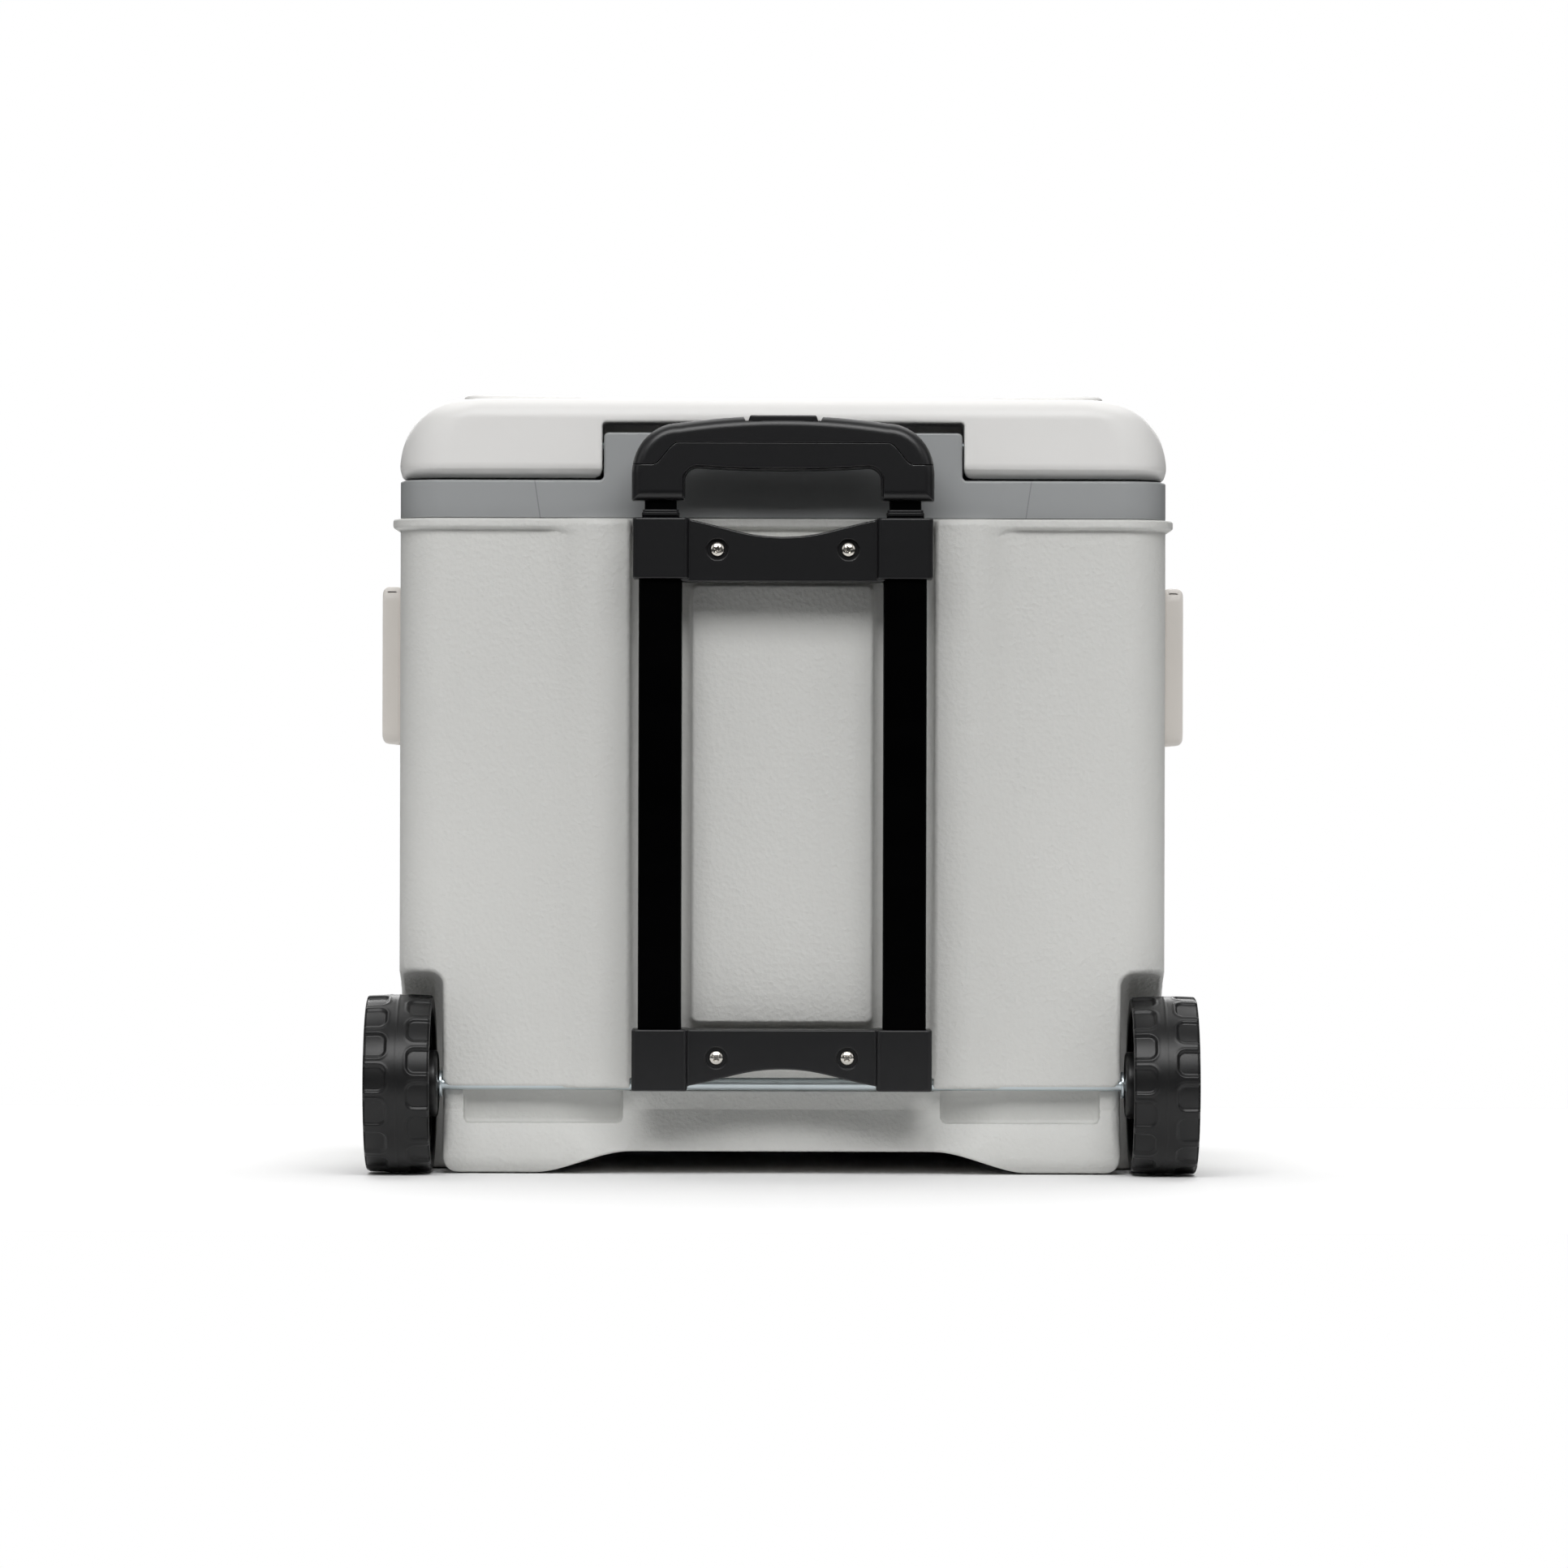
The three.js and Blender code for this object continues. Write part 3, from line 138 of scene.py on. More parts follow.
# %% Grid lines
def lines(low, high, coarse, *fine):
    """Grid lines from low to high. Each fine zone is (from, to, step), and steps grow gently away from it."""
    at = [low - coarse * 0.37]
    while at[-1] < high + coarse * 0.37:
        here = at[-1]
        step = coarse
        for start, stop, small in fine:
            away = max(start - here, here - stop, 0)
            ahead = start - here
            step = min(
                step, small + 0.3 * away if ahead <= 0 else max(small, min(small + 0.3 * away, ahead))
            )
        at.append(here + step)
    return np.array(at) + 0.0137


def span(low, high, axis, coarse, *fine):
    """Grid lines across a box along one axis, with 1 mm to spare at each end."""
    return lines(low[axis] - 1, high[axis] + 1, coarse, *fine)


def both_sides(high, coarse, *fine):
    """Grid lines that mirror about zero."""
    half = lines(coarse * 0.5, high, coarse, *fine)
    half = half - half[0] + 0.31
    return np.concatenate([-half[::-1], half])


print("lines across 100 mm:", len(lines(0, 100, 10, (40, 50, 1))))


# %% The net
def net(shape, *axes):
    """Vertices and quads round the space where the shape's distance is below zero."""
    x, y, z = (np.asarray(a, float) for a in axes)
    value = shape(x[:, None, None], y[None, :, None], z[None, None, :])
    value = np.broadcast_to(value, (len(x), len(y), len(z))).astype(np.float32)
    inside = value < 0
    corners = sum(
        inside[
            i : i + len(x) - 1, j : j + len(y) - 1, k : k + len(z) - 1
        ].astype(np.uint8) for i in (0, 1) for j in (0, 1) for k in (0, 1)
    )
    crossed = (corners > 0) & (corners < 8)
    count = int(crossed.sum())
    number = np.full(crossed.shape, -1, np.int32)
    number[crossed] = np.arange(count)
    total, hits, quads = np.zeros((count, 3)), np.zeros(count), []
    for a, b, c in ((0, 1, 2), (1, 2, 0), (2, 0, 1)):
        low, high = [slice(None)] * 3, [slice(None)] * 3
        low[a], high[a] = slice(None, -1), slice(1, None)
        first, second = value[tuple(low)], value[tuple(high)]
        at = np.argwhere((first < 0) != (second < 0))
        f0, f1 = first[tuple(at.T)].astype(float), second[tuple(at.T)].astype(float)
        place = np.stack([(x, y, z)[k][at[:, k]] for k in range(3)], 1)
        line = (x, y, z)[a]
        place[:, a] += f0 / (f0 - f1) * (line[at[:, a] + 1] - line[at[:, a]])
        ring = []
        for back_b, back_c in ((1, 1), (0, 1), (0, 0), (1, 0)):
            cell = at.copy()
            cell[:, b] -= back_b
            cell[:, c] -= back_c
            index = number[tuple(cell.T)]
            hits += np.bincount(index, minlength=count)
            for k in range(3):
                total[:, k] += np.bincount(index, place[:, k], count)
            ring.append(index)
        face = np.stack(ring, 1)
        outward = f0 > 0
        face[outward] = face[outward][:, ::-1]
        quads.append(face)
    return total / hits[:, None], np.concatenate(quads)


def slope_of(shape, points, reach=0.04):
    x, y, z = points.T
    return np.stack(
        [
            shape(x + reach, y, z) - shape(x - reach, y, z),
            shape(x, y + reach, z) - shape(x, y - reach, z), shape(x, y, z + reach) - shape(x, y, z - reach)
        ],
        1
    ) / (2 * reach)


def settled(shape, points, most=1.2):
    """Pulls points on to the skin along its slope."""
    for _ in range(3):
        slope = slope_of(shape, points)
        size = np.maximum((slope**2).sum(1), 0.05)
        move = -(shape(*points.T) / size)[:, None] * slope
        length = np.linalg.norm(move, axis=1, keepdims=True)
        points = points + move * np.minimum(1, most / np.maximum(length, 1e-9))
    return points


print("surface nets ready")


# %% Pieces
made = {}


def hand_over(name, points, faces, normals, finish, body, replaced, smooth=True):
    """Makes a Blender object of a mesh in millimetres and ties it to the frame."""
    mesh = bpy.data.meshes.new(name)
    mesh.vertices.add(len(points))
    mesh.vertices.foreach_set("co", (np.asarray(points) * MM).astype(np.float32).ravel())
    sides = faces.shape[1]
    mesh.loops.add(faces.size)
    mesh.loops.foreach_set("vertex_index", faces.astype(np.int32).ravel())
    mesh.polygons.add(len(faces))
    mesh.polygons.foreach_set("loop_start", np.arange(len(faces), dtype=np.int32) * sides)
    mesh.polygons.foreach_set("use_smooth", np.full(len(faces), smooth))
    mesh.update(calc_edges=True)
    if normals is not None:
        mesh.normals_split_custom_set_from_vertices(normals.tolist())
    mesh.materials.append(finish)
    piece = bpy.data.objects.new(name, mesh)
    bpy.context.collection.objects.link(piece)
    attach(piece, body)
    if replaced:
        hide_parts(*replaced)
    made[name] = piece
    return piece


def thinned(points, faces, share):
    """Fewer faces on flats, with Blender's Decimate, which keeps the bends."""
    mesh = bpy.data.meshes.new("thin")
    mesh.from_pydata(points.tolist(), [], faces.tolist())
    holder = bpy.data.objects.new("thin", mesh)
    bpy.context.collection.objects.link(holder)
    modifier = holder.modifiers.new("thin", "DECIMATE")
    modifier.ratio = share
    result = bpy.data.meshes.new_from_object(holder.evaluated_get(bpy.context.evaluated_depsgraph_get()))
    points = np.empty(len(result.vertices) * 3)
    result.vertices.foreach_get("co", points)
    result.calc_loop_triangles()
    corners = np.empty(len(result.loop_triangles) * 3, np.int32)
    result.loop_triangles.foreach_get("vertices", corners)
    bpy.data.objects.remove(holder)
    bpy.data.meshes.remove(mesh)
    bpy.data.meshes.remove(result)
    return points.reshape(-1, 3), corners.reshape(-1, 3)


def cast(name, shape, axes, finish, body, slot, replaced, keep=1.0, most=1.2):
    """A moulded piece: its distance, its grid, and what it is made of and rides on."""
    points, faces = net(shape, *axes)
    points = settled(shape, points, most)
    if keep < 1:
        points, faces = thinned(points, faces, keep)
        points = settled(shape, points, most)
    slope = slope_of(shape, points)
    normals = slope / np.maximum(np.linalg.norm(slope, axis=1, keepdims=True), 1e-9)
    piece = hand_over(name, points, faces, normals, finish, body, replaced)
    print(name, len(points), "vertices")
    return piece


def as_drawn(shape, axes):
    return shape, axes


def flipped(shape, axes):
    """The same shape and its grid, mirrored to the other side."""
    return lambda x, y, z: shape(-x, y, z), [-axes[0][::-1], *axes[1:]]


SIDES = (("right", as_drawn), ("left", flipped))


# %% [markdown]
# ## Finishes
# Blender's Principled shader takes a colour as light, not as paint-chart numbers, so one function turns an
# sRGB hex value to linear. A second one adds a node with its settings and its links in one line, which
# keeps each finish short enough to read like a recipe.


# %% Colour and nodes
def linear(hex_colour):
    """An sRGB hex value as linear red, green, blue and a full alpha."""
    parts = [int(hex_colour[i : i + 2], 16) / 255 for i in (1, 3, 5)]
    return [c / 12.92 if c <= 0.04045 else ((c + 0.055) / 1.055) ** 2.4 for c in parts] + [1.0]


def add(tree, kind, inputs=(), **settings):
    """Adds a node. Each input is a value or another node's output."""
    made_node = tree.nodes.new(kind)
    for key, value in settings.items():
        setattr(made_node, key, value)
    for key, value in dict(inputs).items():
        if isinstance(value, bpy.types.NodeSocket):
            tree.links.new(value, made_node.inputs[key])
        else:
            made_node.inputs[key].default_value = value
    return made_node


def blank(name):
    """An empty material with its output, its shader and its object coordinates."""
    material = bpy.data.materials.new(name)
    material.use_nodes = True
    tree = material.node_tree
    tree.nodes.clear()
    shader = add(tree, "ShaderNodeBsdfPrincipled")
    add(tree, "ShaderNodeOutputMaterial", {"Surface": shader.outputs[0]})
    place = add(tree, "ShaderNodeTexCoord").outputs["Object"]
    return material, tree, shader, place


print("body grey in linear light:", [round(c, 3) for c in linear("#d0cfcb")])


# %% [markdown]
# ### Moulded plastics
# Nearly everything here is injection moulded. The tub is polyethylene cast against a mould etched with a
# leather-like grain, about 2 mm from pebble to pebble; the lid and the collar are polypropylene from a
# satin mould with only a faint ripple; the handle is glass-filled nylon, black, with a fine sandy sparkle.
# They share one recipe, with the grain's size and depth as its numbers: a cell pattern broken up by noise
# gives pebbles, and noise alone gives sand. Plastic has an IOR of about 1.5 and no metal. Slow, faint
# patches in colour and gloss keep a large panel from looking like a flat paint.


# %% Moulded plastic
def moulded(
    name, colour, rough, grain_mm, grain_depth_mm, pebbles=False, patch=0.03, ior=1.5, specular=0.5
):
    """Plastic from a grained mould. grain_mm is the spacing of the grain."""
    material, tree, shader, place = blank(name)
    cloud = add(tree, "ShaderNodeTexNoise", {"Vector": place, "Scale": 9.0, "Detail": 3.0})
    sand = add(
        tree, "ShaderNodeTexNoise",
        {"Vector": place, "Scale": 1 / (grain_mm * MM), "Detail": 2.0, "Roughness": 0.55, "Distortion": 0.4}
    )
    grain = sand.outputs["Fac"]
    if pebbles:
        cells = add(
            tree, "ShaderNodeTexVoronoi",
            {"Vector": place, "Scale": 0.62 / (grain_mm * MM), "Smoothness": 0.6, "Randomness": 1.0},
            feature="SMOOTH_F1"
        )
        grain = add(
            tree, "ShaderNodeMath", {0: cells.outputs["Distance"], 1: sand.outputs["Fac"]},
            operation="MULTIPLY"
        ).outputs[0]
    tint = add(
        tree, "ShaderNodeMixRGB",
        {
            "Fac": cloud.outputs["Fac"], "Color1": [c * (1 - patch) for c in linear(colour)[:3]] + [1],
            "Color2": [min(1, c * (1 + patch)) for c in linear(colour)[:3]] + [1]
        }
    )
    gloss = add(
        tree, "ShaderNodeMapRange",
        {"Value": sand.outputs["Fac"], "To Min": rough - 0.06, "To Max": rough + 0.06}
    )
    bump = add(tree, "ShaderNodeBump", {"Height": grain, "Strength": 1.0, "Distance": grain_depth_mm * MM})
    for socket, value in (
        ("Base Color", tint.outputs[0]), ("Roughness", gloss.outputs[0]), ("Normal", bump.outputs[0])
    ):
        tree.links.new(value, shader.inputs[socket])
    shader.inputs["IOR"].default_value = ior
    shader.inputs["Specular IOR Level"].default_value = specular
    return material


pebbled_polyethylene = moulded("pebbled_polyethylene", "#cfcfcc", 0.55, 2.2, 0.65, pebbles=True)
smooth_polyethylene = moulded("smooth_polyethylene", "#e3ded8", 0.45, 3.0, 0.03)
satin_polypropylene = moulded("satin_white_polypropylene", "#e3e2e0", 0.42, 6.0, 0.02, patch=0.015)
liner_polypropylene = moulded("white_liner_polypropylene", "#f0f0ed", 0.35, 8.0, 0.03, patch=0.015)
sandy_nylon = moulded("black_glass_filled_nylon", "#101012", 0.34, 0.6, 0.035, patch=0.08)
wheel_polypropylene = moulded(
    "black_wheel_polypropylene", "#0a0a0b", 0.36, 1.2, 0.02, patch=0.10, specular=0.4
)
seal_rubber = moulded("black_seal_rubber", "#141414", 0.8, 0.8, 0.05, patch=0.08, ior=1.52)
print("plastics:", len(bpy.data.materials))

# %% [markdown]
# ### The collar's grey
# The collar is the same satin polypropylene in a mid grey. Its mould was closed by a sliding block on each
# side of the riser, and the seam of that block shows as a thin leaning line. It is finer than a tenth of a
# millimetre, too fine for the mesh, so it is drawn in the finish: a band round a leaning plane, 0.8 mm wide,
# which is wider than the real seam so that it shows.


# %% Collar grey with its seam lines
def collar_grey():
    material = moulded("grey_collar_polypropylene", "#989a9b", 0.40, 6.0, 0.02, patch=0.02)
    tree = material.node_tree
    shader = [node for node in tree.nodes if node.type == "BSDF_PRINCIPLED"][0]
    grey = shader.inputs["Base Color"].links[0].from_socket
    where = add(
        tree, "ShaderNodeSeparateXYZ", {"Vector": add(tree, "ShaderNodeTexCoord").outputs["Object"]}
    )
    side = add(tree, "ShaderNodeMath", {0: where.outputs["X"]}, operation="ABSOLUTE")
    slant, middle_x, middle_z = 0.15, 0.165, 0.453
    lean = {0: where.outputs["Z"], 1: slant, 2: middle_x - slant * middle_z}
    plane = add(tree, "ShaderNodeMath", lean, operation="MULTIPLY_ADD")
    apart = add(tree, "ShaderNodeMath", {0: side.outputs[0], 1: plane.outputs[0]}, operation="SUBTRACT")
    width = add(tree, "ShaderNodeMath", {0: apart.outputs[0]}, operation="ABSOLUTE")
    seam = add(tree, "ShaderNodeMath", {0: width.outputs[0], 1: 0.4 * MM}, operation="LESS_THAN")
    drawn = {"Fac": seam.outputs[0], "Color1": grey, "Color2": linear("#808283")}
    tree.links.new(add(tree, "ShaderNodeMixRGB", drawn).outputs[0], shader.inputs["Base Color"])
    return material


collar_polypropylene = collar_grey()
print(collar_polypropylene.name)


# %% [markdown]
# ### Metals
# The axle, the pins and the washers are mild steel with bright zinc plating, a slightly blue white metal
# that is soft to the eye; the screws are nickel plated and a little warmer. A metal has no colour of its
# own under its shine, so its base colour is its reflection: metallic 1, with faint drawn streaks in the
# roughness. The handle's tubes are aluminium, anodised a deep black, which hides nearly all of the shine.


# %% Plated steel and black anodised aluminium
def plated(name, colour, rough, streak_mm, metallic=1.0):
    """Metal with drawn streaks along X or Z, drawn a little coarser than real so that they show."""
    material, tree, shader, place = blank(name)
    stretch = add(
        tree, "ShaderNodeMapping", {"Vector": place, "Scale": [40 * MM / (streak_mm * MM), 900, 40]}
    )
    streaks = add(tree, "ShaderNodeTexNoise", {"Vector": stretch.outputs[0], "Scale": 1.0, "Detail": 2.0})
    cloud = add(tree, "ShaderNodeTexNoise", {"Vector": place, "Scale": 30.0, "Detail": 2.0})
    tint = add(
        tree, "ShaderNodeMixRGB",
        {
            "Fac": cloud.outputs["Fac"], "Color1": [c * 0.92 for c in linear(colour)[:3]] + [1],
            "Color2": linear(colour)
        }
    )
    gloss = add(
        tree, "ShaderNodeMapRange",
        {"Value": streaks.outputs["Fac"], "To Min": rough - 0.07, "To Max": rough + 0.09}
    )
    tree.links.new(tint.outputs[0], shader.inputs["Base Color"])
    tree.links.new(gloss.outputs[0], shader.inputs["Roughness"])
    shader.inputs["Metallic"].default_value = metallic
    return material


zinc_plated = plated("zinc_plated_steel", "#d3dce0", 0.36, 40)
nickel_plated = plated("nickel_plated_steel", "#d6d2cb", 0.20, 40)
spring_wire = plated("drawn_spring_steel", "#a9abad", 0.30, 40)
black_anodised = plated("black_anodised_aluminium", "#0b0b0c", 0.34, 4)
print("metals done")


# %% [markdown]
# ### Foam
# Between the walls is poured polyurethane foam, cream coloured and full of tiny bubbles. A cell pattern at
# 1.5 mm, with each cell a little higher or lower, gives its dull, open look.


# %% Poured foam
def poured_foam():
    material, tree, shader, place = blank("poured_polyurethane_foam")
    bubbles = add(tree, "ShaderNodeTexVoronoi", {"Vector": place, "Scale": 1 / (1.5 * MM)})
    tint = add(
        tree, "ShaderNodeMixRGB",
        {"Fac": bubbles.outputs["Distance"], "Color1": linear("#e9deb4"), "Color2": linear("#d9cb98")}
    )
    bump = add(
        tree, "ShaderNodeBump",
        {"Height": bubbles.outputs["Distance"], "Strength": 0.8, "Distance": 0.4 * MM}
    )
    tree.links.new(tint.outputs[0], shader.inputs["Base Color"])
    tree.links.new(bump.outputs[0], shader.inputs["Normal"])
    shader.inputs["Roughness"].default_value = 0.95
    shader.inputs["IOR"].default_value = 1.5
    return material


foam_finish = poured_foam()

# %% [markdown]
# ## The tub
# The tub's outer wall is one big moulding. Seen from the trolley side it has a bead round its rim, two
# pillars that stand proud beside the handle and die away towards the hem, a raised pad between the tubes, a
# hem above the axle, two shallow pockets under it and an arch between the feet. The wheels turn in wells
# cut into the rear corners. Each of these is one line or two of joining and carving.

# %% The tub's sizes
shell_high = box_mm("outer_shell")[1]
rim = shell_high[2]
bead_proud = 5.0
half = shell_high[0] - bead_proud
front = shell_high[1] - bead_proud
rear = box_mm("rim_collar")[0][1]
axle_low, axle_high = box_mm("axle")
axle_y = middle(axle_low, axle_high, 1)
axle_z = middle(axle_low, axle_high, 2)
hem = axle_z - 2.5
pad_face = rear - 10
bracket_low, bracket_high = box_mm("upper_bracket")
lower_low, lower_high = box_mm("lower_bracket")
channel = bracket_high[0] + 2
pillar_edge = channel + 33.5
pad_half = 61.0
tub_corner = 30
wall = 3
land_height = 19
arch_rise = 15
well_wall = 228.0
well_radius = 75.0
print(
    "tub half width", round(half, 2), "rim", round(rim, 2), "rear", round(rear, 2), "channel",
    round(channel, 2)
)


# %% The tub's outside
def tub_outline(x, y, grow=0.0):
    return rect(x, y, -half - grow, half + grow, rear - grow, front + grow, tub_corner + grow)


def pillar(s, y, z):
    """A pillar that leans back into the wall as it goes down."""
    share = (z - hem) / (rim - hem)
    proud, slope = 4 + 9 * share, 4 + 12 * share
    face = (rear - proud) - y
    flank = ((s - pillar_edge) * proud - (y - rear + proud) * slope) / np.hypot(proud, slope)
    column = within(within(face, flank, 8), channel - s, 3)
    return both(within(column, z - rim, 5), y - rear - 10)


def wheel_well(s, y, z):
    """The space round a wheel, with a soft inner corner."""
    drum = either(disc(y, z, axle_y, axle_z, well_radius), both(z - axle_z, y - axle_y))
    return within(drum, well_wall - s, 9)


def under_hem(s, y, z):
    """What is cut away under the hem: a slope that runs out to the foot, and the pocket behind it."""
    slant = ((y - rear - 9) * 17 + (43 - z) * 7) / math.hypot(17, 7)
    step = both(slant, y - rear - 9, z - hem)
    pocket = within(rect(s, z, 107, well_wall - 14, hem - 23.5, hem + 12, 4), y - rear - 16, 2)
    return either(step, both(pocket, z - hem))


def arch(s, y, z):
    """The opening between the feet."""
    sides = ((s - 147) * 15 + z * 23) / math.hypot(15, 23)
    return within(within(z - arch_rise, sides, 12), y - (rear - 3 + 300), 6)


def cavity(s, y, z):
    """The room for the foam: wide above and in front of the wells, narrow between them."""
    side, end, corner = half - wall, front - wall, tub_corner - wall
    low, over_wells = arch_rise + wall, 138
    upper = both(rect(s, y, -side, side, rear + 5, end, corner), over_wells - z)
    ahead = both(rect(s, y, -side, side, axle_y + 80, end, corner), low - z)
    inner = well_wall - wall
    between_wells = rect(s, y, -inner, inner, axle_y + 12, axle_y + 120)
    return either(upper, ahead, both(between_wells, between(z, low, over_wells + 1)))


def tub(x, y, z):
    s = abs(x)
    bead = within(tub_outline(x, y, bead_proud), between(z, rim - 6.5, rim + 9), 2.2)
    solid = joined(tub_outline(x, y), bead, 1.5)
    solid = joined(solid, pillar(s, y, z), 7)
    pad = within(
        rect(x, z, -pad_half, pad_half, lower_high[2] + 3, bracket_low[2] - 0.5, 5), pad_face - y, 2.5
    )
    lands = either(*(between(z, low, low + land_height) for low in (408, 69.5)))
    land = both(s - 94, lands, rear - 13 - y)
    solid = joined(solid, both(pad, y - rear - 10), 2.5)
    solid = either(solid, both(land, y - rear - 10))
    cut = joined(wheel_well(s, y, z), under_hem(s, y, z), 7)
    solid = carved(solid, cut, 3.5)
    solid = carved(solid, arch(s, y, z), 2.5)
    solid = within(solid, -z, 12)
    solid = within(solid, z - rim, 1.6)
    tunnel = both(disc(y, z, axle_y, axle_z, 4.5), s - 400)
    slot = both(rect(y, z, rear - 40, axle_y + 4.5, axle_z - 4.5, axle_z + 4.5), s - channel)
    solid = carved(solid, either(tunnel, slot))
    solid = carved(solid, both(disc(y, z, drain_y, drain_z, 12), 240 - x))
    return carved(solid, cavity(s, y, z))


drain_low, drain_high = box_mm("drain_fitting")
drain_y = middle(drain_low, drain_high, 1)
drain_z = middle(drain_low, drain_high, 2)
print("distance at the middle of the pad:", float(tub(0.0, pad_face, 250.0)))

# %% The tub's grid
tub_x = both_sides(
    half + 8, 9, (58, 64, 1.1), (92, 96, 1.5), (100, 112, 1.3), (122, 158, 3), (213, 236, 1.3),
    (228, 252, 3), (252, 265, 1.1)
)
tub_y = lines(
    rear - 16, front + 8, 9, (rear - 15, rear + 20, 1.25), (rear + 20, rear + 34, 2.5), (-102, -88, 1.3),
    (108, 130, 2), (front - 30, front - 6, 3), (front - 6, front + 6, 1.1)
)
tub_z = lines(
    -1, rim + 1, 9, (-1, 20, 1.5), (20, hem + 12, 1.3), (hem + 12, 96, 3), (99, 108, 1.2), (120, 142, 1.6),
    (rim - 52, rim - 30, 1.5), (rim - 10, rim + 1, 0.9)
)
print("tub grid", len(tub_x), len(tub_y), len(tub_z))
cast(
    "tub_wall", tub, (tub_x, tub_y, tub_z), pebbled_polyethylene, "cooler_body", "textured_shell",
    ["outer_shell"], keep=0.42
)

# %% [markdown]
# ## The collar
# The collar caps the foam and joins the tub to the liner. A riser stands up from it behind the trolley
# handle and carries the lid's hinge pins. It is drawn as one outline seen from behind, with a fillet at the
# riser's foot, and then hollowed from above and below.

# %% The collar
collar_low, collar_high = box_mm("rim_collar")
collar_top = rim + 26
riser_half = 120.5
riser_front = rear + 24


def liner_outline(x, y, z, grow=0.0):
    """The liner's outline, which narrows a little towards its floor."""
    inset = 6 * (1 - (z - 45) / (collar_top - 45)) - grow
    return rect(x, y, -224 + inset, 224 - inset, rear + 36.5 + inset, front - 34.5 - inset, 34 + grow)


def collar(x, y, z):
    riser = within(rect(x, z, -riser_half, riser_half, 300, collar_high[2], 3.5), y - riser_front, 1.2)
    height = joined(z - collar_top, riser, 3)
    solid = within(tub_outline(x, y), height, 1.6)
    solid = within(solid, collar_low[2] - z, 0.8)
    solid = carved(solid, both(liner_outline(x, y, z, -3), riser_front + 2 - y), 0.8)
    underside = both(tub_outline(x, y, -3), -liner_outline(x, y, z, 3), z - collar_top + 3)
    holes = both(disc(y, z, hinge_y, hinge_z, 3.3), 107 - abs(x))
    return carved(carved(solid, underside), holes)


pin_low, pin_high = box_mm("lid_hinge_pin_right")
hinge_y = middle(pin_low, pin_high, 1)
hinge_z = middle(pin_low, pin_high, 2)
collar_axes = (
    both_sides(half + 2, 9, (104, 128, 1.1), (214, 230, 2), (228, 254, 3), (250, 260, 1.0)),
    lines(
        rear - 1, front + 1, 9, (rear - 2, riser_front + 5, 1.1), (rear + 30, rear + 75, 2.5),
        (front - 70, front - 34, 2.5), (front - 30, front - 6, 3), (front - 6, front + 2, 1.0)
    ),
    span(
        collar_low, collar_high, 2, 6, (collar_low[2] - 1, collar_top + 6, 1.0),
        (484, collar_high[2] + 1, 1.0)
    )
)
cast(
    "collar", collar, collar_axes, collar_polypropylene, "cooler_body", "collar_plastic", ["rim_collar"],
    keep=0.6
)

# %% [markdown]
# ## The liner
# The food tub inside is a second moulding with a wall of 3 mm, generous corners that wipe clean, a flange
# under the collar and a hole at one end for the drain.


# %% The liner
def food_liner(x, y, z):
    outside = within(liner_outline(x, y, z), 42 - z, 10)
    flange = within(liner_outline(x, y, z, 12), between(z, rim - 3.3, rim - 0.3), 0.6)
    solid = within(joined(outside, flange, 1), z - rim + 0.3, 0.6)
    solid = carved(solid, within(liner_outline(x, y, z, -3), 45 - z, 9), 0.6)
    return carved(solid, both(disc(y, z, drain_y, drain_z, 12), 190 - x))


liner_axes = (
    both_sides(238, 9, (180, 212, 4), (212, 228, 1.1), (228, 238, 1.3)),
    lines(
        rear + 23, front - 20, 9, (rear + 24, rear + 46, 1.1), (rear + 46, rear + 74, 4),
        (front - 74, front - 46, 4), (front - 46, front - 20, 1.1), (drain_y - 14, drain_y + 14, 2)
    ),
    lines(41, rim, 10, (41, 58, 1.1), (58, 70, 2), (rim - 6, rim, 0.8))
)
cast(
    "food_liner", food_liner, liner_axes, liner_polypropylene, "cooler_body", "liner_plastic",
    ["inner_liner"], keep=0.5
)

# %% [markdown]
# ## The lid
# The lid is a hollow shell filled with foam. Its ends fall away in a long quarter ellipse, its front and
# back edges are tighter, a soft skirt turns in at the bottom, a flat panel stands on top, and a notch at
# the back clears the collar's riser and the trolley grip.

# %% The lid
lid_low, lid_high = box_mm("lid_cover")
lid_base = lid_low[2]
lid_rise = 53.4
lid_top = lid_base + lid_rise
lid_half = lid_high[0]
riser_swing = math.hypot(12, 8.5)
notch_roof = hinge_z + riser_swing + 0.8
notch_front = hinge_y + riser_swing + 1.8


def lid_outline(x, y, z):
    """The lid's outline at each height, turned in at the ends, the long edges and the skirt."""
    h = np.clip(z - lid_base, -5, lid_rise)
    end = 40 * (1 - np.sqrt(np.clip(1 - (np.maximum(h - 5.4, 0) / 48) ** 2, 0, 1)))
    edge = 14 * (1 - np.sqrt(np.clip(1 - (np.maximum(h - 39.4, 0) / 14) ** 2, 0, 1)))
    skirt = 10.5 * np.clip(1 - h / 6.0, 0, 2)
    skirt = skirt + np.clip(1 - (abs(h - 6.0) / 4.0), 0, 1) ** 2 * 1.1
    wide = lid_half - end - skirt * 0.15
    return rect(
        x, y, -wide, wide, rear - 2.95 + edge + skirt, front + 3 - edge - skirt * 0.15, 34 - 0.5 * edge
    )


def lid_panel(x, y, z):
    """The raised panel, its top dished by under 3 mm so that it is flush in the middle."""
    edge = lid_half - 42
    dish = 2.9 * (1 - np.minimum(1, (x / edge) ** 2))
    outline = rect(x, y, -edge, edge, rear - 3 + 44, front + 3 - 44, 20)
    return within(outline, z - (lid_high[2] - dish), 1.8)


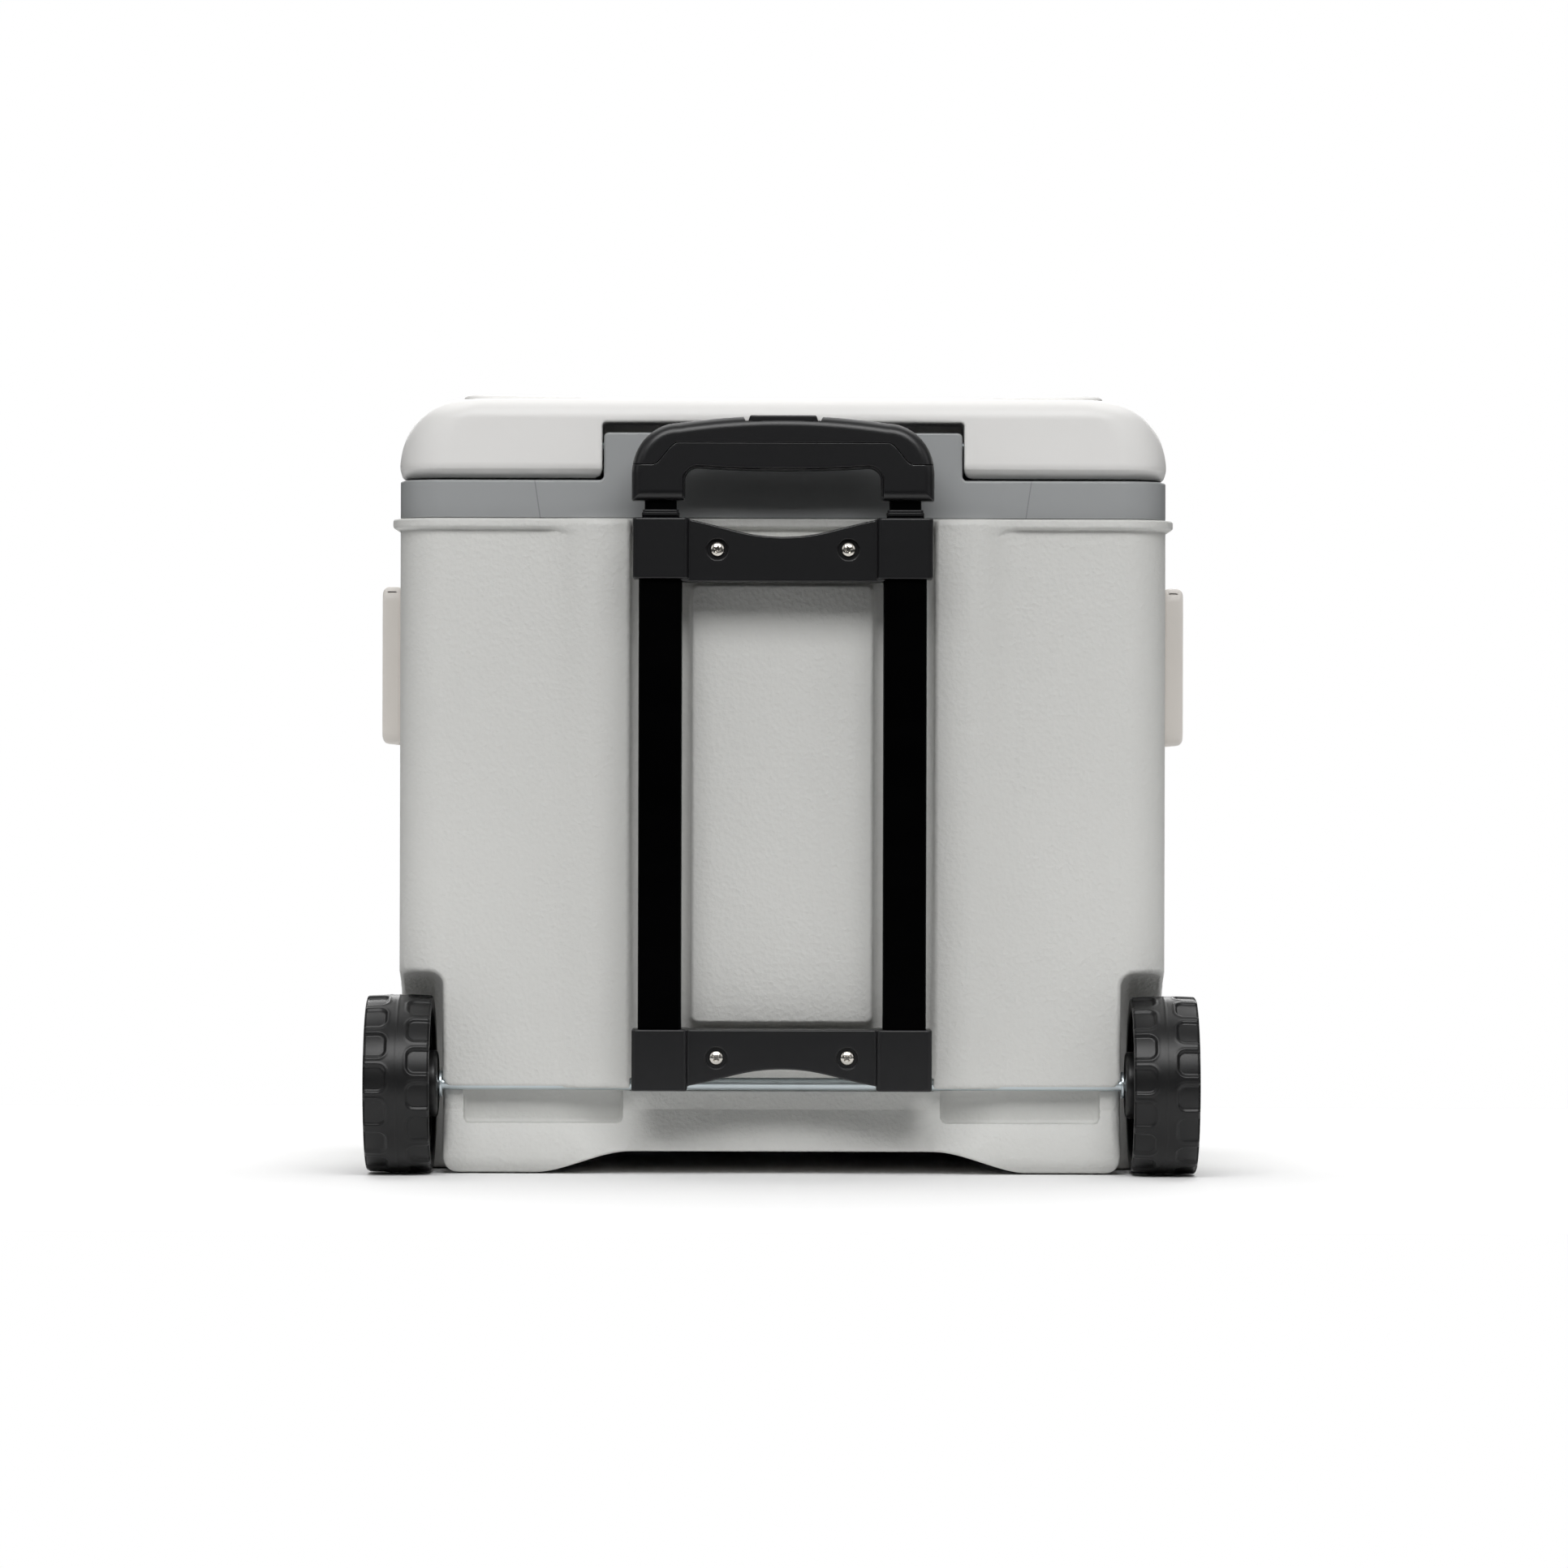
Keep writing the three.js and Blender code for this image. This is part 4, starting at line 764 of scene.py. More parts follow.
def lid_space(x, y, z):
    """The lid's foam space, narrower towards its roof."""
    share = np.clip((z - lid_base - 20) / 28.9, 0, 1)
    wide = lid_half - 16.5 - 23.5 * share
    return both(rect(x, y, -wide, wide, notch_front + 3, front + 3 - 6 - 8 * share, 23), z - lid_top + 4.5)


def lid(x, y, z):
    outside = within(lid_outline(x, y, z), z - lid_top, 0.6)
    outside = joined(outside, both(lid_panel(x, y, z), lid_top - 6 - z), 1.2)
    notch = within(rect(x, z, -riser_half - 1, riser_half + 1, 400, notch_roof, 3), y - notch_front, 2)
    solid = carved(outside, joined(z - lid_base, notch, 6.5), 1.4)
    holes = both(disc(y, z, hinge_y, hinge_z, 3.5), abs(x) - riser_half - 14)
    return carved(carved(solid, lid_space(x, y, z)), holes)


lid_axes = (
    both_sides(
        lid_half + 1, 8, (104, 138, 1.4), (198, 246, 2.6), (212, 221, 1.3), (246, lid_half + 1, 1.3)
    ),
    lines(
        rear - 4, front + 4, 9, (rear - 4, rear + 14, 1.3), (notch_front - 4, notch_front + 6, 1.3),
        (rear + 38, rear + 45, 1.4), (front - 46, front - 38, 1.4), (front - 32, front - 8, 3),
        (front - 8, front + 4, 1.3)
    ),
    lines(
        lid_base - 1, lid_high[2] + 1, 5, (lid_base - 1, lid_base + 11, 1.0),
        (notch_roof - 5, notch_roof + 4, 1.2), (lid_base + 37, lid_high[2] + 1, 1.1)
    )
)
cast("lid_shell", lid, lid_axes, satin_polypropylene, "lid", "lid_plastic", ["lid_cover"], keep=0.5)


# %% [markdown]
# The lid's inner panel closes the foam in and carries a plug that drops into the liner's mouth. It is a
# shallow tray with soft corners.


# %% The lid's inner panel
def lid_tray(x, y, z):
    plate = within(
        rect(x, y, -lid_half + 16.8, lid_half - 16.8, notch_front + 3.3, front - 3.3, 23),
        between(z, lid_base, lid_base + 3), 0.7
    )
    plug = within(liner_outline(x, y, z, -6), lid_base - 14 - z, 6)
    plug = both(plug, z - lid_base - 1)
    room = within(liner_outline(x, y, z, -9), lid_base - 11 - z, 4)
    return carved(joined(plate, plug, 2), room, 0.6)


tray_axes = (
    both_sides(244, 9, (190, 220, 2.2), (206, 220, 1.2), (238, 244, 1.2)),
    lines(
        notch_front + 2, front - 2, 9, (notch_front + 2, rear + 50, 1.3), (rear + 50, rear + 76, 3),
        (front - 74, front - 50, 3), (front - 50, front - 36, 1.3), (front - 8, front - 2, 1.2)
    ),
    lines(lid_base - 15, lid_base + 4, 3, (lid_base - 15, lid_base + 4, 0.9))
)
cast(
    "lid_inner_panel", lid_tray, tray_axes, liner_polypropylene, "lid", "liner_plastic", ["lid_liner"],
    keep=0.5
)

# %% [markdown]
# ## The wheels
# A wheel is a core with a hub and five spokes, and a hard tread pressed over it. The tread's pattern is two
# rows of U-shaped pockets, sixteen in each row, open to the sides and set half a step apart. A grid can't
# follow such small, regular pockets well, so the tread is turned instead, as on a lathe: a profile is
# carried round the axle in fine steps, and each point sinks where a pocket is.

# %% The tread
tread_low, tread_high = box_mm("wheel_tread_right")
wheel_middle = middle(tread_low, tread_high, 0)
wheel_radius = (tread_high[2] - tread_low[2]) / 2
tread_half = (tread_high[0] - tread_low[0]) / 2
POCKETS = 16
POCKET_DEPTH = 1.5


def soft_step(t):
    t = np.clip(t, 0, 1)
    return t * t * (3 - 2 * t)


def pocket_depth(turn, along):
    """How far the tread's skin sinks: 1.5 mm in a pocket, with a soft wall, and a faint seam in the middle."""
    pitch = 2 * math.pi / POCKETS
    depth = 0
    for side in (-1, 1):
        local = (turn / pitch + (0.25 if side > 0 else -0.25)) % 1 - 0.5
        arc = local * pitch * wheel_radius
        inwards = side * along
        wide, corner = 8.6, 5.2
        edge = rect(arc, inwards, -wide, wide, 7.2, 60, corner)
        depth = depth + POCKET_DEPTH * soft_step(0.5 - edge / 1.5)
        rim_line = np.exp(-(((edge - 1.4) / 0.8) ** 2)) * 0.28
        depth = depth - rim_line * (inwards > 0)
    return depth - 0.18 * np.exp(-((along / 0.7) ** 2))


def tread(name, middle, body, nodes):
    r, w = wheel_radius - 0.32, tread_half
    inner = r - 9 + 0.32
    across = np.concatenate(
        [np.linspace(-w + 2.2, -2.4, 26), np.linspace(-2, 2, 9), np.linspace(2.4, w - 2.2, 26)]
    )
    crown = r - 0.6 * (abs(across) / w) ** 2.5
    turns = np.linspace(0, 2 * math.pi, POCKETS * 26, endpoint=False)
    shoulder = [
        (w - 2.2 + 2.2 * math.sin(a), -2.2 + 2.2 * math.cos(a)) for a in np.linspace(0.2, math.pi / 2, 7)
    ]
    profile = [(u, c, 1.0) for u, c in zip(across, crown)]
    profile += [(u, crown[-1] + v, 1.0 if v > -1.2 else 0.0) for u, v in shoulder]
    profile += [(w, crown[-1] - 4.5, 0.0), (w - 0.5, inner + 0.5, 0.0), (w - 1.2, inner, 0.0)]
    profile += [(-w + 1.2, inner, 0.0), (-w + 0.5, inner + 0.5, 0.0), (-w, crown[0] - 4.5, 0.0)]
    profile += [(-u, crown[0] + v, 1.0 if v > -1.2 else 0.0) for u, v in shoulder[::-1]]
    along = np.array([p[0] for p in profile])[:, None]
    radius = np.array([p[1] for p in profile])[:, None]
    sinks = np.array([p[2] for p in profile])[:, None]
    radius = radius - sinks * pocket_depth(turns[None, :], along)
    points = np.stack(
        [
            np.broadcast_to(along + middle, radius.shape), axle_y + radius * np.cos(turns),
            axle_z + radius * np.sin(turns)
        ],
        2
    ).reshape(-1, 3)
    count, steps = len(profile), len(turns)
    i, j = np.meshgrid(np.arange(count), np.arange(steps), indexing="ij")
    index = lambda a, b: (a % count) * steps + b % steps
    faces = np.stack([index(i, j), index(i + 1, j), index(i + 1, j + 1), index(i, j + 1)], 2).reshape(-1, 4)
    return hand_over(name, points, faces[:, ::-1], None, wheel_polypropylene, body, nodes)


for side, sign in (("left", -1), ("right", 1)):
    tread(f"tread_{side}", sign * wheel_middle, f"wheel_{side}", [f"wheel_tread_{side}"])
print("treads", len(made["tread_left"].data.polygons), "faces each")

# %% [markdown]
# The core is cast like the tub: a rim, a thin web, five spokes, and a hub whose boss runs against a washer.


# %% The wheel's core and cap
core_low = box_mm("wheel_core_right")[0]
wheel_inner = tread_low[0]
wheel_outer = tread_high[0]
seat = wheel_radius - 9.3


def wheel_core(x, y, z):
    r = np.hypot(y - axle_y, z - axle_z)
    rim_ring = within(within(r - seat, seat - 4 - r, 0.5), between(x, wheel_inner + 3, wheel_outer - 3), 1)
    hub = within(r - 22.5, between(x, core_low[0], wheel_outer - 10), 2.5)
    web = both(r - seat + 1, between(x, wheel_middle - 2, wheel_middle + 2))
    shape = joined(joined(rim_ring, web, 2), hub, 3)
    for i in range(5):
        turn = i * 2 * math.pi / 5
        across = (y - axle_y) * math.cos(turn) + (z - axle_z) * math.sin(turn)
        out = (z - axle_z) * math.cos(turn) - (y - axle_y) * math.sin(turn)
        spoke = both(rect(across, x, -3.5, 3.5, wheel_middle - 12, wheel_middle + 12, 1.5), -out)
        shape = joined(shape, both(spoke, r - seat + 1), 2)
    bore = either(r - 4.5, both(r - 9, wheel_outer - 15 - x))
    return carved(shape, bore, 0.5)


def hub_cap(x, y, z):
    r = np.hypot(y - axle_y, z - axle_z)
    cap = within(r - 26, between(x, cap_low[0], cap_high[0]), 2.6)
    groove = within(between(r, 17.5, 19.5), cap_high[0] - 0.8 - x, 0.3)
    room = both(r - 9, x - cap_low[0] - 5.5)
    return carved(carved(cap, groove, 0.5), room, 0.4)


cap_low, cap_high = box_mm("hub_cap_right")
spin = lambda reach, step: [lines(c - reach, c + reach, step) for c in (axle_y, axle_z)]
core_axes = [lines(core_low[0] - 1, wheel_outer, 1.4), *spin(seat + 1, 1.4)]
cap_axes = [span(cap_low, cap_high, 0, 0.8, (cap_high[0] - 3, cap_high[0] + 1, 0.5)), *spin(27, 1.0)]
for side, turn in SIDES:
    cast(
        f"core_{side}", *turn(wheel_core, core_axes), wheel_polypropylene, f"wheel_{side}", "wheel_plastic",
        [f"wheel_core_{side}"]
    )
    cast(
        f"cap_{side}", *turn(hub_cap, cap_axes), sandy_nylon, f"wheel_{side}", "black_plastic",
        [f"hub_cap_{side}"]
    )


# %% [markdown]
# ## The axle
# One bright zinc rod runs right across under the hem, with a washer between the tub and each wheel and a
# pressed-on nut under each cap. It shows as a thin line of metal between the brackets and the wheels.

# %% Axle, washers and nuts
def rod(node, round_edge=0.8, bore=0.0):
    """A round bar along X that fills its node's box."""
    low, high = box_mm(node)
    cy, cz, radius = middle(low, high, 1), middle(low, high, 2), (high[1] - low[1]) / 2

    def shape(x, y, z):
        r = np.hypot(y - cy, z - cz)
        solid = within(r - radius, between(x, low[0], high[0]), round_edge)
        return carved(solid, r - bore, 0.3) if bore else solid

    step = max(0.45, radius / 9)
    ends = [(v - 1.5, v + 1.5, 0.5) for v in (low[0], high[0])]
    axes = (span(low, high, 0, 25, *ends), *(lines(c - radius - 1, c + radius + 1, step) for c in (cy, cz)))
    return shape, axes


cast("axle_rod", *rod("axle"), zinc_plated, "cooler_body", "zinc_steel", ["axle"])
for side in ("left", "right"):
    for node, bore in (("axle_washer", 4.5), ("axle_push_nut", 4.3), ("lid_hinge_pin", 0.0)):
        name = f"{node}_{side}"
        cast(f"bright_{name}", *rod(name, 0.4, bore), zinc_plated, "cooler_body", "zinc_steel", [name])

# %% [markdown]
# ## The trolley tubes
# Each leg of the handle is three flat aluminium tubes that slide in one another. A tube is the same
# rounded outline twice, one inside the other, drawn out along its length. A small cap on the middle tube
# guides the inner one.

# %% Tubes and caps
tube_low, tube_high = box_mm("outer_tube_right")
tube_x = middle(tube_low, tube_high, 0)
tube_y = middle(tube_low, tube_high, 1)


def flat_tube(low, high, wall, sign):
    def shape(x, y, z):
        s = sign * x
        outside = rect(s, y, low[0], high[0], low[1], high[1], 2.5)
        bore = rect(
            s, y, low[0] + wall, high[0] - wall, low[1] + wall, high[1] - wall, max(2.5 - wall, 0.6)
        )
        return within(carved(outside, bore, 0.05), between(z, low[2], high[2]), 0.35)

    return shape


for side, sign in (("left", -1), ("right", 1)):
    for stage, body in (("outer", "cooler_body"), ("middle", "middle_stage"), ("inner", "upper_stage")):
        node = f"{stage}_tube_{side}"
        low, high = box_mm(f"{stage}_tube_right")
        wide = [(v - 3, v + 3, 0.5) for v in (low[0], high[0])]
        deep = [(v - 3, v + 3, 0.5) for v in (low[1], high[1])]
        tall = [(v - 1, v + 1, 0.5) for v in (low[2], high[2])]
        across = sign * span(low, high, 0, 6, *wide)[::sign]
        axes = (across, span(low, high, 1, 4, *deep), span(low, high, 2, 30, *tall))
        cast(
            f"drawn_{node}", flat_tube(low, high, 1.2, sign), axes, black_anodised, body, "black_tube",
            [node]
        )
    low, high = box_mm("tube_ferrule_right")
    inner_low, inner_high = box_mm("inner_tube_right")

    def guide(x, y, z, sign=sign):
        s = sign * x
        outside = rect(s, y, low[0], high[0], low[1], high[1], 2.5)
        upper = rect(s, y, low[0] + 0.6, high[0] - 0.6, low[1] + 0.6, high[1] - 0.6, 2.2)
        tiers = either(
            within(outside, between(z, low[2], low[2] + 2.4), 0.4),
            within(upper, between(z, low[2], high[2]), 0.5)
        )
        bore = rect(
            s, y, inner_low[0] - 0.3, inner_high[0] + 0.3, inner_low[1] - 0.3, inner_high[1] + 0.3, 2.5
        )
        return carved(tiers, bore, 0.3)

    axes = (sign * span(low, high, 0, 0.6)[::sign], span(low, high, 1, 0.6), span(low, high, 2, 0.4))
    cast(
        f"guide_cap_{side}", guide, axes, sandy_nylon, "middle_stage", "black_plastic",
        [f"tube_ferrule_{side}"]
    )

# %% [markdown]
# ## The brackets
# Two glass-filled nylon brackets hold the outer tubes to the tub. Each is a pair of sleeves joined by a web
# that is hollow behind. The upper one's top edge sags in a shallow arc and the lower one's foot rises in
# the same arc, so both are one function with the arc turned over. The screws sit in round counterbores.

# %% The brackets
SCREW_X = 43.6
ARC = 125.0  # radius of the sagging edge
WEB_WALL = 4


def bracket(low, high, web_low, web_high, sag_up, screw_z):
    sleeve_in = tube_x - (high[0] - tube_x)
    face = low[1] + 4

    def web_outline(x, z, inset=0.0):
        flat = rect(x, z, -sleeve_in - 6, sleeve_in + 6, web_low + inset, web_high - inset)
        if sag_up:
            return carved(flat, disc(x, z, 0, web_high - 12.5 + ARC, ARC + inset), 9)
        return carved(flat, disc(x, z, 0, web_low + 12 - ARC, ARC + inset), 9)

    def shape(x, y, z):
        s = abs(x)
        sleeve = rect(s, y, sleeve_in, high[0], low[1], high[1], 3.2)
        sleeve = within(sleeve, between(z, low[2] + (2 if sag_up else 0), high[2]), 1.1)
        web = within(web_outline(x, z), between(y, face, high[1]), 1.1)
        hollow = both(web_outline(x, z, WEB_WALL), face + WEB_WALL - y)
        hollow = both(hollow, s - sleeve_in + 3)
        screw = np.hypot(s - SCREW_X, z - screw_z)
        web = carved(web, hollow)
        boss = both(screw - 9.5, between(y, face + 1, high[1]))
        body = joined(either(web, boss), sleeve, 1.6)
        bore = rect(s, y, tube_low[0] - 0.3, tube_high[0] + 0.3, tube_low[1] - 0.3, tube_high[1] + 0.3, 2.8)
        bore = both(bore, tube_low[2] - 0.3 - z)
        body = carved(body, bore, 0.7)
        return carved(body, either(both(screw - 7.2, y - face - 3), screw - 2.5), 0.5)

    return shape


def bracket_axes(low, high):
    across = both_sides(high[0] + 1, 1.2, (34, 54, 0.7), (60, 70, 0.7), (95, 103, 0.7))
    return across, span(low, high, 1, 1.4, (low[1] - 1, low[1] + 9, 0.6)), span(low, high, 2, 0.7)


screw_upper = middle(*box_mm("bracket_screw_upper_right"), 2)
screw_lower = middle(*box_mm("bracket_screw_lower_right"), 2)
upper_shape = bracket(bracket_low, bracket_high, bracket_low[2], bracket_high[2], True, screw_upper)
lower_shape = bracket(lower_low, lower_high, lower_low[2] + 2.5, lower_high[2], False, screw_lower)
cast(
    "bracket_top", upper_shape, bracket_axes(bracket_low, bracket_high), sandy_nylon, "cooler_body",
    "black_plastic", ["upper_bracket"]
)
cast(
    "bracket_foot", lower_shape, bracket_axes(lower_low, lower_high), sandy_nylon, "cooler_body",
    "black_plastic", ["lower_bracket"]
)


# %% [markdown]
# A pan head screw has a domed head and a cross recess that tapers inwards. At this size the recess is what
# says "screw", so it is carved in full.

# %% The screws
for level in ("upper", "lower"):
    for side, sign in (("left", -1), ("right", 1)):
        node = f"bracket_screw_{level}_{side}"
        low, high = box_mm(node)
        cx, cz = middle(low, high, 0), middle(low, high, 2)

        angle = math.radians({"upper": 20, "lower": 40}[level] * sign)
        turned = (math.cos(angle), math.sin(angle))

        def screw(x, y, z, low=low, high=high, cx=cx, cz=cz, turned=turned):
            r = np.hypot(x - cx, z - cz)
            dome = np.sqrt((x - cx) ** 2 + (z - cz) ** 2 + (y - low[1] - 7.6) ** 2) - 7.6
            head = within(within(r - 5, dome, 0.5), y - low[1] - 2.6, 0.3)
            shank = within(
                r - 2.2 + 0.25 * np.cos(2 * math.pi * y / 1.6), between(y, low[1] + 1, high[1]), 0.4
            )
            taper = 2.7 - 0.45 * (y - low[1])
            u, v = (x - cx) * turned[0] + (z - cz) * turned[1], (z - cz) * turned[0] - (x - cx) * turned[1]
            arms = either(rect(u, v, -taper, taper, -0.6, 0.6), rect(u, v, -0.6, 0.6, -taper, taper))
            return carved(either(head, shank), both(joined(arms, r - 1.3, 0.4), y - low[1] - 1.9), 0.15)

        axes = (
            lines(cx - 5.5, cx + 5.5, 0.28),
            lines(low[1] - 0.5, high[1] + 0.5, 0.4, (low[1] - 0.5, low[1] + 3.2, 0.28)),
            lines(cz - 5.5, cz + 5.5, 0.28)
        )
        cast(
            f"pan_{node}", screw, axes, nickel_plated, "cooler_body", "zinc_steel", [node], keep=0.6,
            most=0.2
        )

# %% [markdown]
# ## The grip
# The grip is two nylon shells that part along a line which drops at each end. Its bar is crowned and fat in
# the hand, with a big radius on top, a bevelled finger gap below, and a button let into the middle between
# two small V-shaped nicks. Both shells are the same body, kept above or below the parting surface.

# %% The grip's body
grip_low, grip_high = box_mm("grip_lower_shell")
upper_low, upper_high = box_mm("grip_upper_shell")
foot = grip_low[2]
grip_half = grip_high[0]
grip_rear, grip_front = grip_low[1], grip_high[1]
shoulder_z = foot + 52
crown = 5.3
shoulder_wide, shoulder_tall = 31, 34
gap_top = shoulder_z - 29
gap_half = grip_half - 35.5


def grip_outline(x, z):
    """The grip seen from behind: a crowned bar, elliptical shoulders and two legs."""
    s = abs(x)
    flat = grip_half - shoulder_wide
    level = shoulder_z - shoulder_tall
    top = shoulder_z + crown * (1 - np.minimum(s / flat, 1) ** 2)
    shoulder = np.where(z < level, s - grip_half, ellipse(s, z, flat, level, shoulder_wide, shoulder_tall))
    return both(np.where(s <= flat, z - top, shoulder), foot - z)


def grip_gap(x, z, grow=0.0):
    sag = 2.4 * (1 - np.minimum(abs(x) / gap_half, 1) ** 2)
    return rect(x, z + sag, -gap_half - grow, gap_half + grow, foot - 60, gap_top + grow, 9 + grow)


def grip_body(x, y, z):
    depth = between(y, grip_rear, grip_front)
    solid = within(grip_outline(x, z), depth, 7.5)
    solid = within(solid, foot - z, 1.6)
    bevel = both(grip_gap(x, z, 1.4), -(depth + 2.2))
    return carved(carved(solid, grip_gap(x, z), 2.2), bevel, 0.6)


def parting(x, z):
    """Above zero over the parting line, which runs level, drops in an S and runs level again."""
    share = soft_step((abs(x) - 70) / 17)
    return z - (foot + 39) + 14.5 * share


button_low, button_high = box_mm("release_button")
link_high = box_mm("release_link")[1]


def grip_rooms(x, y, z):
    """Room for the tubes, the release bar and the button, and the nicks beside the button."""
    s = abs(x)
    socket = rect(
        s, y, inner_low[0] - 0.3, inner_high[0] + 0.3, inner_low[1] - 0.3, inner_high[1] + 0.3, 2.8
    )
    socket = both(socket, z - inner_high[2] - 0.3)
    bar_room = both(
        rect(x, y, -84.5, 84.5, tube_y - 2.5, tube_y + 2.5),
        between(z, link_high[2] - 8.5, link_high[2] + 0.5)
    )
    rods = both(disc(s, y, tube_x, tube_y, 2), between(z, inner_high[2] - 1, link_high[2]))
    well = rect(
        x, y, button_low[0] - 0.5, button_high[0] + 0.5, button_low[1] - 0.5, button_high[1] + 0.5, 1
    )
    well = both(well, link_high[2] - 8.5 - z)
    spring = both(disc(x, y, 0, tube_y, 4), link_high[2] - 11.5 - z)
    spring = both(spring, z - link_high[2])
    nick = (abs(s - button_high[0] - 1.2) - 0.55 * (z - (button_high[2] - 4.2))) / 1.14
    return either(socket, bar_room, rods, well, spring, nick)


def grip_upper(x, y, z):
    return carved(within(grip_body(x, y, z), 0.15 - parting(x, z), 0.35), grip_rooms(x, y, z), 0.25)


def grip_lower(x, y, z):
    return carved(within(grip_body(x, y, z), parting(x, z) + 0.15, 0.35), grip_rooms(x, y, z), 0.25)


def grip_axes(low, high):
    across = both_sides(high[0] + 1, 1.2, (22, 28, 0.5), (60, 70, 0.8))
    return across, span(low, high, 1, 0.8), span(low, high, 2, 0.7)


cast(
    "grip_top", grip_upper, grip_axes(upper_low, upper_high), sandy_nylon, "upper_stage", "black_plastic",
    ["grip_upper_shell"], keep=0.6, most=0.6
)
cast(
    "grip_base", grip_lower, grip_axes(grip_low, grip_high), sandy_nylon, "upper_stage", "black_plastic",
    ["grip_lower_shell"], keep=0.6, most=0.6
)


# %% [markdown]
# The button fills its well nearly from back to front, and its rounded top edge stands above the bar's
# falling shoulder, so its back shows as a low plate.


# %% The button
def button(x, y, z):
    sides = rect(x, y, button_low[0], button_high[0], button_low[1], button_high[1], 1.2)
    slanted = (abs(x) - button_high[0] + 0.35 * np.maximum(z - (button_high[2] - 4.5), 0))
    body = within(both(sides, slanted), z - button_high[2], 0.9)
    return within(body, button_low[2] - z, 0.3)


button_axes = (
    both_sides(button_high[0] + 1, 2.5, (20, 25, 0.5)),
    span(
        button_low, button_high, 1, 2, (button_low[1] - 1, button_low[1] + 2, 0.5),
        (button_high[1] - 2, button_high[1] + 1, 0.5)
    ),
    span(button_low, button_high, 2, 2, (button_high[2] - 6, button_high[2] + 1, 0.5))
)
cast(
    "press_button", button, button_axes, sandy_nylon, "release", "black_plastic", ["release_button"],
    most=0.5
)

# %% [markdown]
# ## The side handles
# Each side handle hangs flat against a plate on the end wall and swings up to lift. It is a smooth U with
# soft edges all round; the plate carries a lug inside each arm.

# %% The side handles
bail_low, bail_high = box_mm("side_handle_right")
plate_low, plate_high = box_mm("side_handle_plate_right")
bail_mid = middle(bail_low, bail_high, 1)
pivot_x = middle(bail_low, bail_high, 0)
pivot_z = bail_high[2] - (bail_high[0] - bail_low[0]) / 2
lug_radius = (bail_high[0] - bail_low[0]) / 2 - 1


def side_handle(x, y, z):
    outline = rect(y, z, bail_low[1], bail_high[1], bail_low[2], bail_high[2], 10)
    section = rect(x, z, bail_low[0], bail_high[0], bail_low[2], bail_high[2], 6)
    body = within(both(outline, section), between(x, bail_low[0], bail_high[0]), 4)
    window = rect(y, z, bail_low[1] + 17, bail_high[1] - 17, bail_low[2] + 24, bail_high[2] + 30, 5)
    body = carved(body, window, 3)
    hole = both(disc(x, z, pivot_x, pivot_z, 4.5), abs(y - bail_mid) - 66)
    return carved(body, hole, 0.5)


def handle_plate(x, y, z):
    plate = within(
        rect(y, z, plate_low[1], plate_high[1], plate_low[2], plate_high[2], 16),
        between(x, plate_low[0], plate_low[0] + 2.7), 1
    )
    s = abs(y - bail_mid)
    boss = either(
        disc(x, z, pivot_x, pivot_z, lug_radius), both(abs(z - pivot_z) - lug_radius, x - pivot_x)
    )
    lug = within(boss, between(s, 37.4, 51.4), 1.2)
    lug = both(lug, plate_low[0] + 1 - x)
    pin = within(disc(x, z, pivot_x, pivot_z, 4), between(s, 50, 64.4), 0.6)
    return either(joined(plate, lug, 2), pin)


bail_axes = (
    span(bail_low, bail_high, 0, 1.3),
    span(
        bail_low, bail_high, 1, 2.4, (bail_low[1] - 1, bail_low[1] + 22, 1.3),
        (bail_high[1] - 22, bail_high[1] + 1, 1.3)
    ),
    span(
        bail_low, bail_high, 2, 2.2, (bail_low[2] - 1, bail_low[2] + 28, 1.3),
        (bail_high[2] - 22, bail_high[2] + 1, 1.3)
    )
)
plate_axes = (
    span(plate_low, plate_high, 0, 0.9),
    span(
        plate_low, plate_high, 1, 3, (plate_low[1] - 1, plate_low[1] + 34, 1.2),
        (plate_high[1] - 34, plate_high[1] + 1, 1.2)
    ),
    span(
        plate_low, plate_high, 2, 3, (plate_low[2] - 1, plate_low[2] + 4, 1.0),
        (plate_high[2] - 30, plate_high[2] + 1, 1.2)
    )
)
for side, turn in SIDES:
    cast(
        f"lift_handle_{side}", *turn(side_handle, bail_axes), smooth_polyethylene, f"side_handle_{side}",
        "handle_plastic", [f"side_handle_{side}"]
    )
    cast(
        f"lift_plate_{side}", *turn(handle_plate, plate_axes), smooth_polyethylene, "cooler_body",
        "handle_plastic", [f"side_handle_plate_{side}"]
    )

# %% [markdown]
# ## The drain
# A flanged tube runs through the foam from the liner's floor, and a screw cap with a flat finger grip
# closes it against a rubber washer.

# %% The drain
knob_low, knob_high = box_mm("drain_cap")
seal_low, seal_high = box_mm("drain_gasket")


def drain_fitting(x, y, z):
    r = np.hypot(y - drain_y, z - drain_z)
    pipe = within(r - 11.5, between(x, drain_low[0], drain_high[0]), 0.6)
    flange = within(r - 21, between(x, half + 0.3, drain_high[0]), 1.3)
    return carved(joined(pipe, flange, 1), r - 8, 0.5)


def drain_cap(x, y, z):
    r = np.hypot(y - drain_y, z - drain_z)
    turn = np.arctan2(z - drain_z, y - drain_y)
    start = seal_high[0] + 0.3
    skirt = within(r - 14.6 - 0.4 * np.cos(24 * turn), between(x, start, start + 4), 0.8)
    tab = within(within(r - 14.2, abs(z - drain_z) - 4, 2), between(x, start, knob_high[0]), 1.6)
    plug = within(r - 7.4, between(x, knob_low[0], start + 1), 0.8)
    return either(joined(skirt, tab, 1.5), plug)


def seal(x, y, z):
    r = np.hypot(y - drain_y, z - drain_z)
    return within(within(r - 14, 8 - r, 0.6), between(x, seal_low[0], seal_high[0]), 0.6)


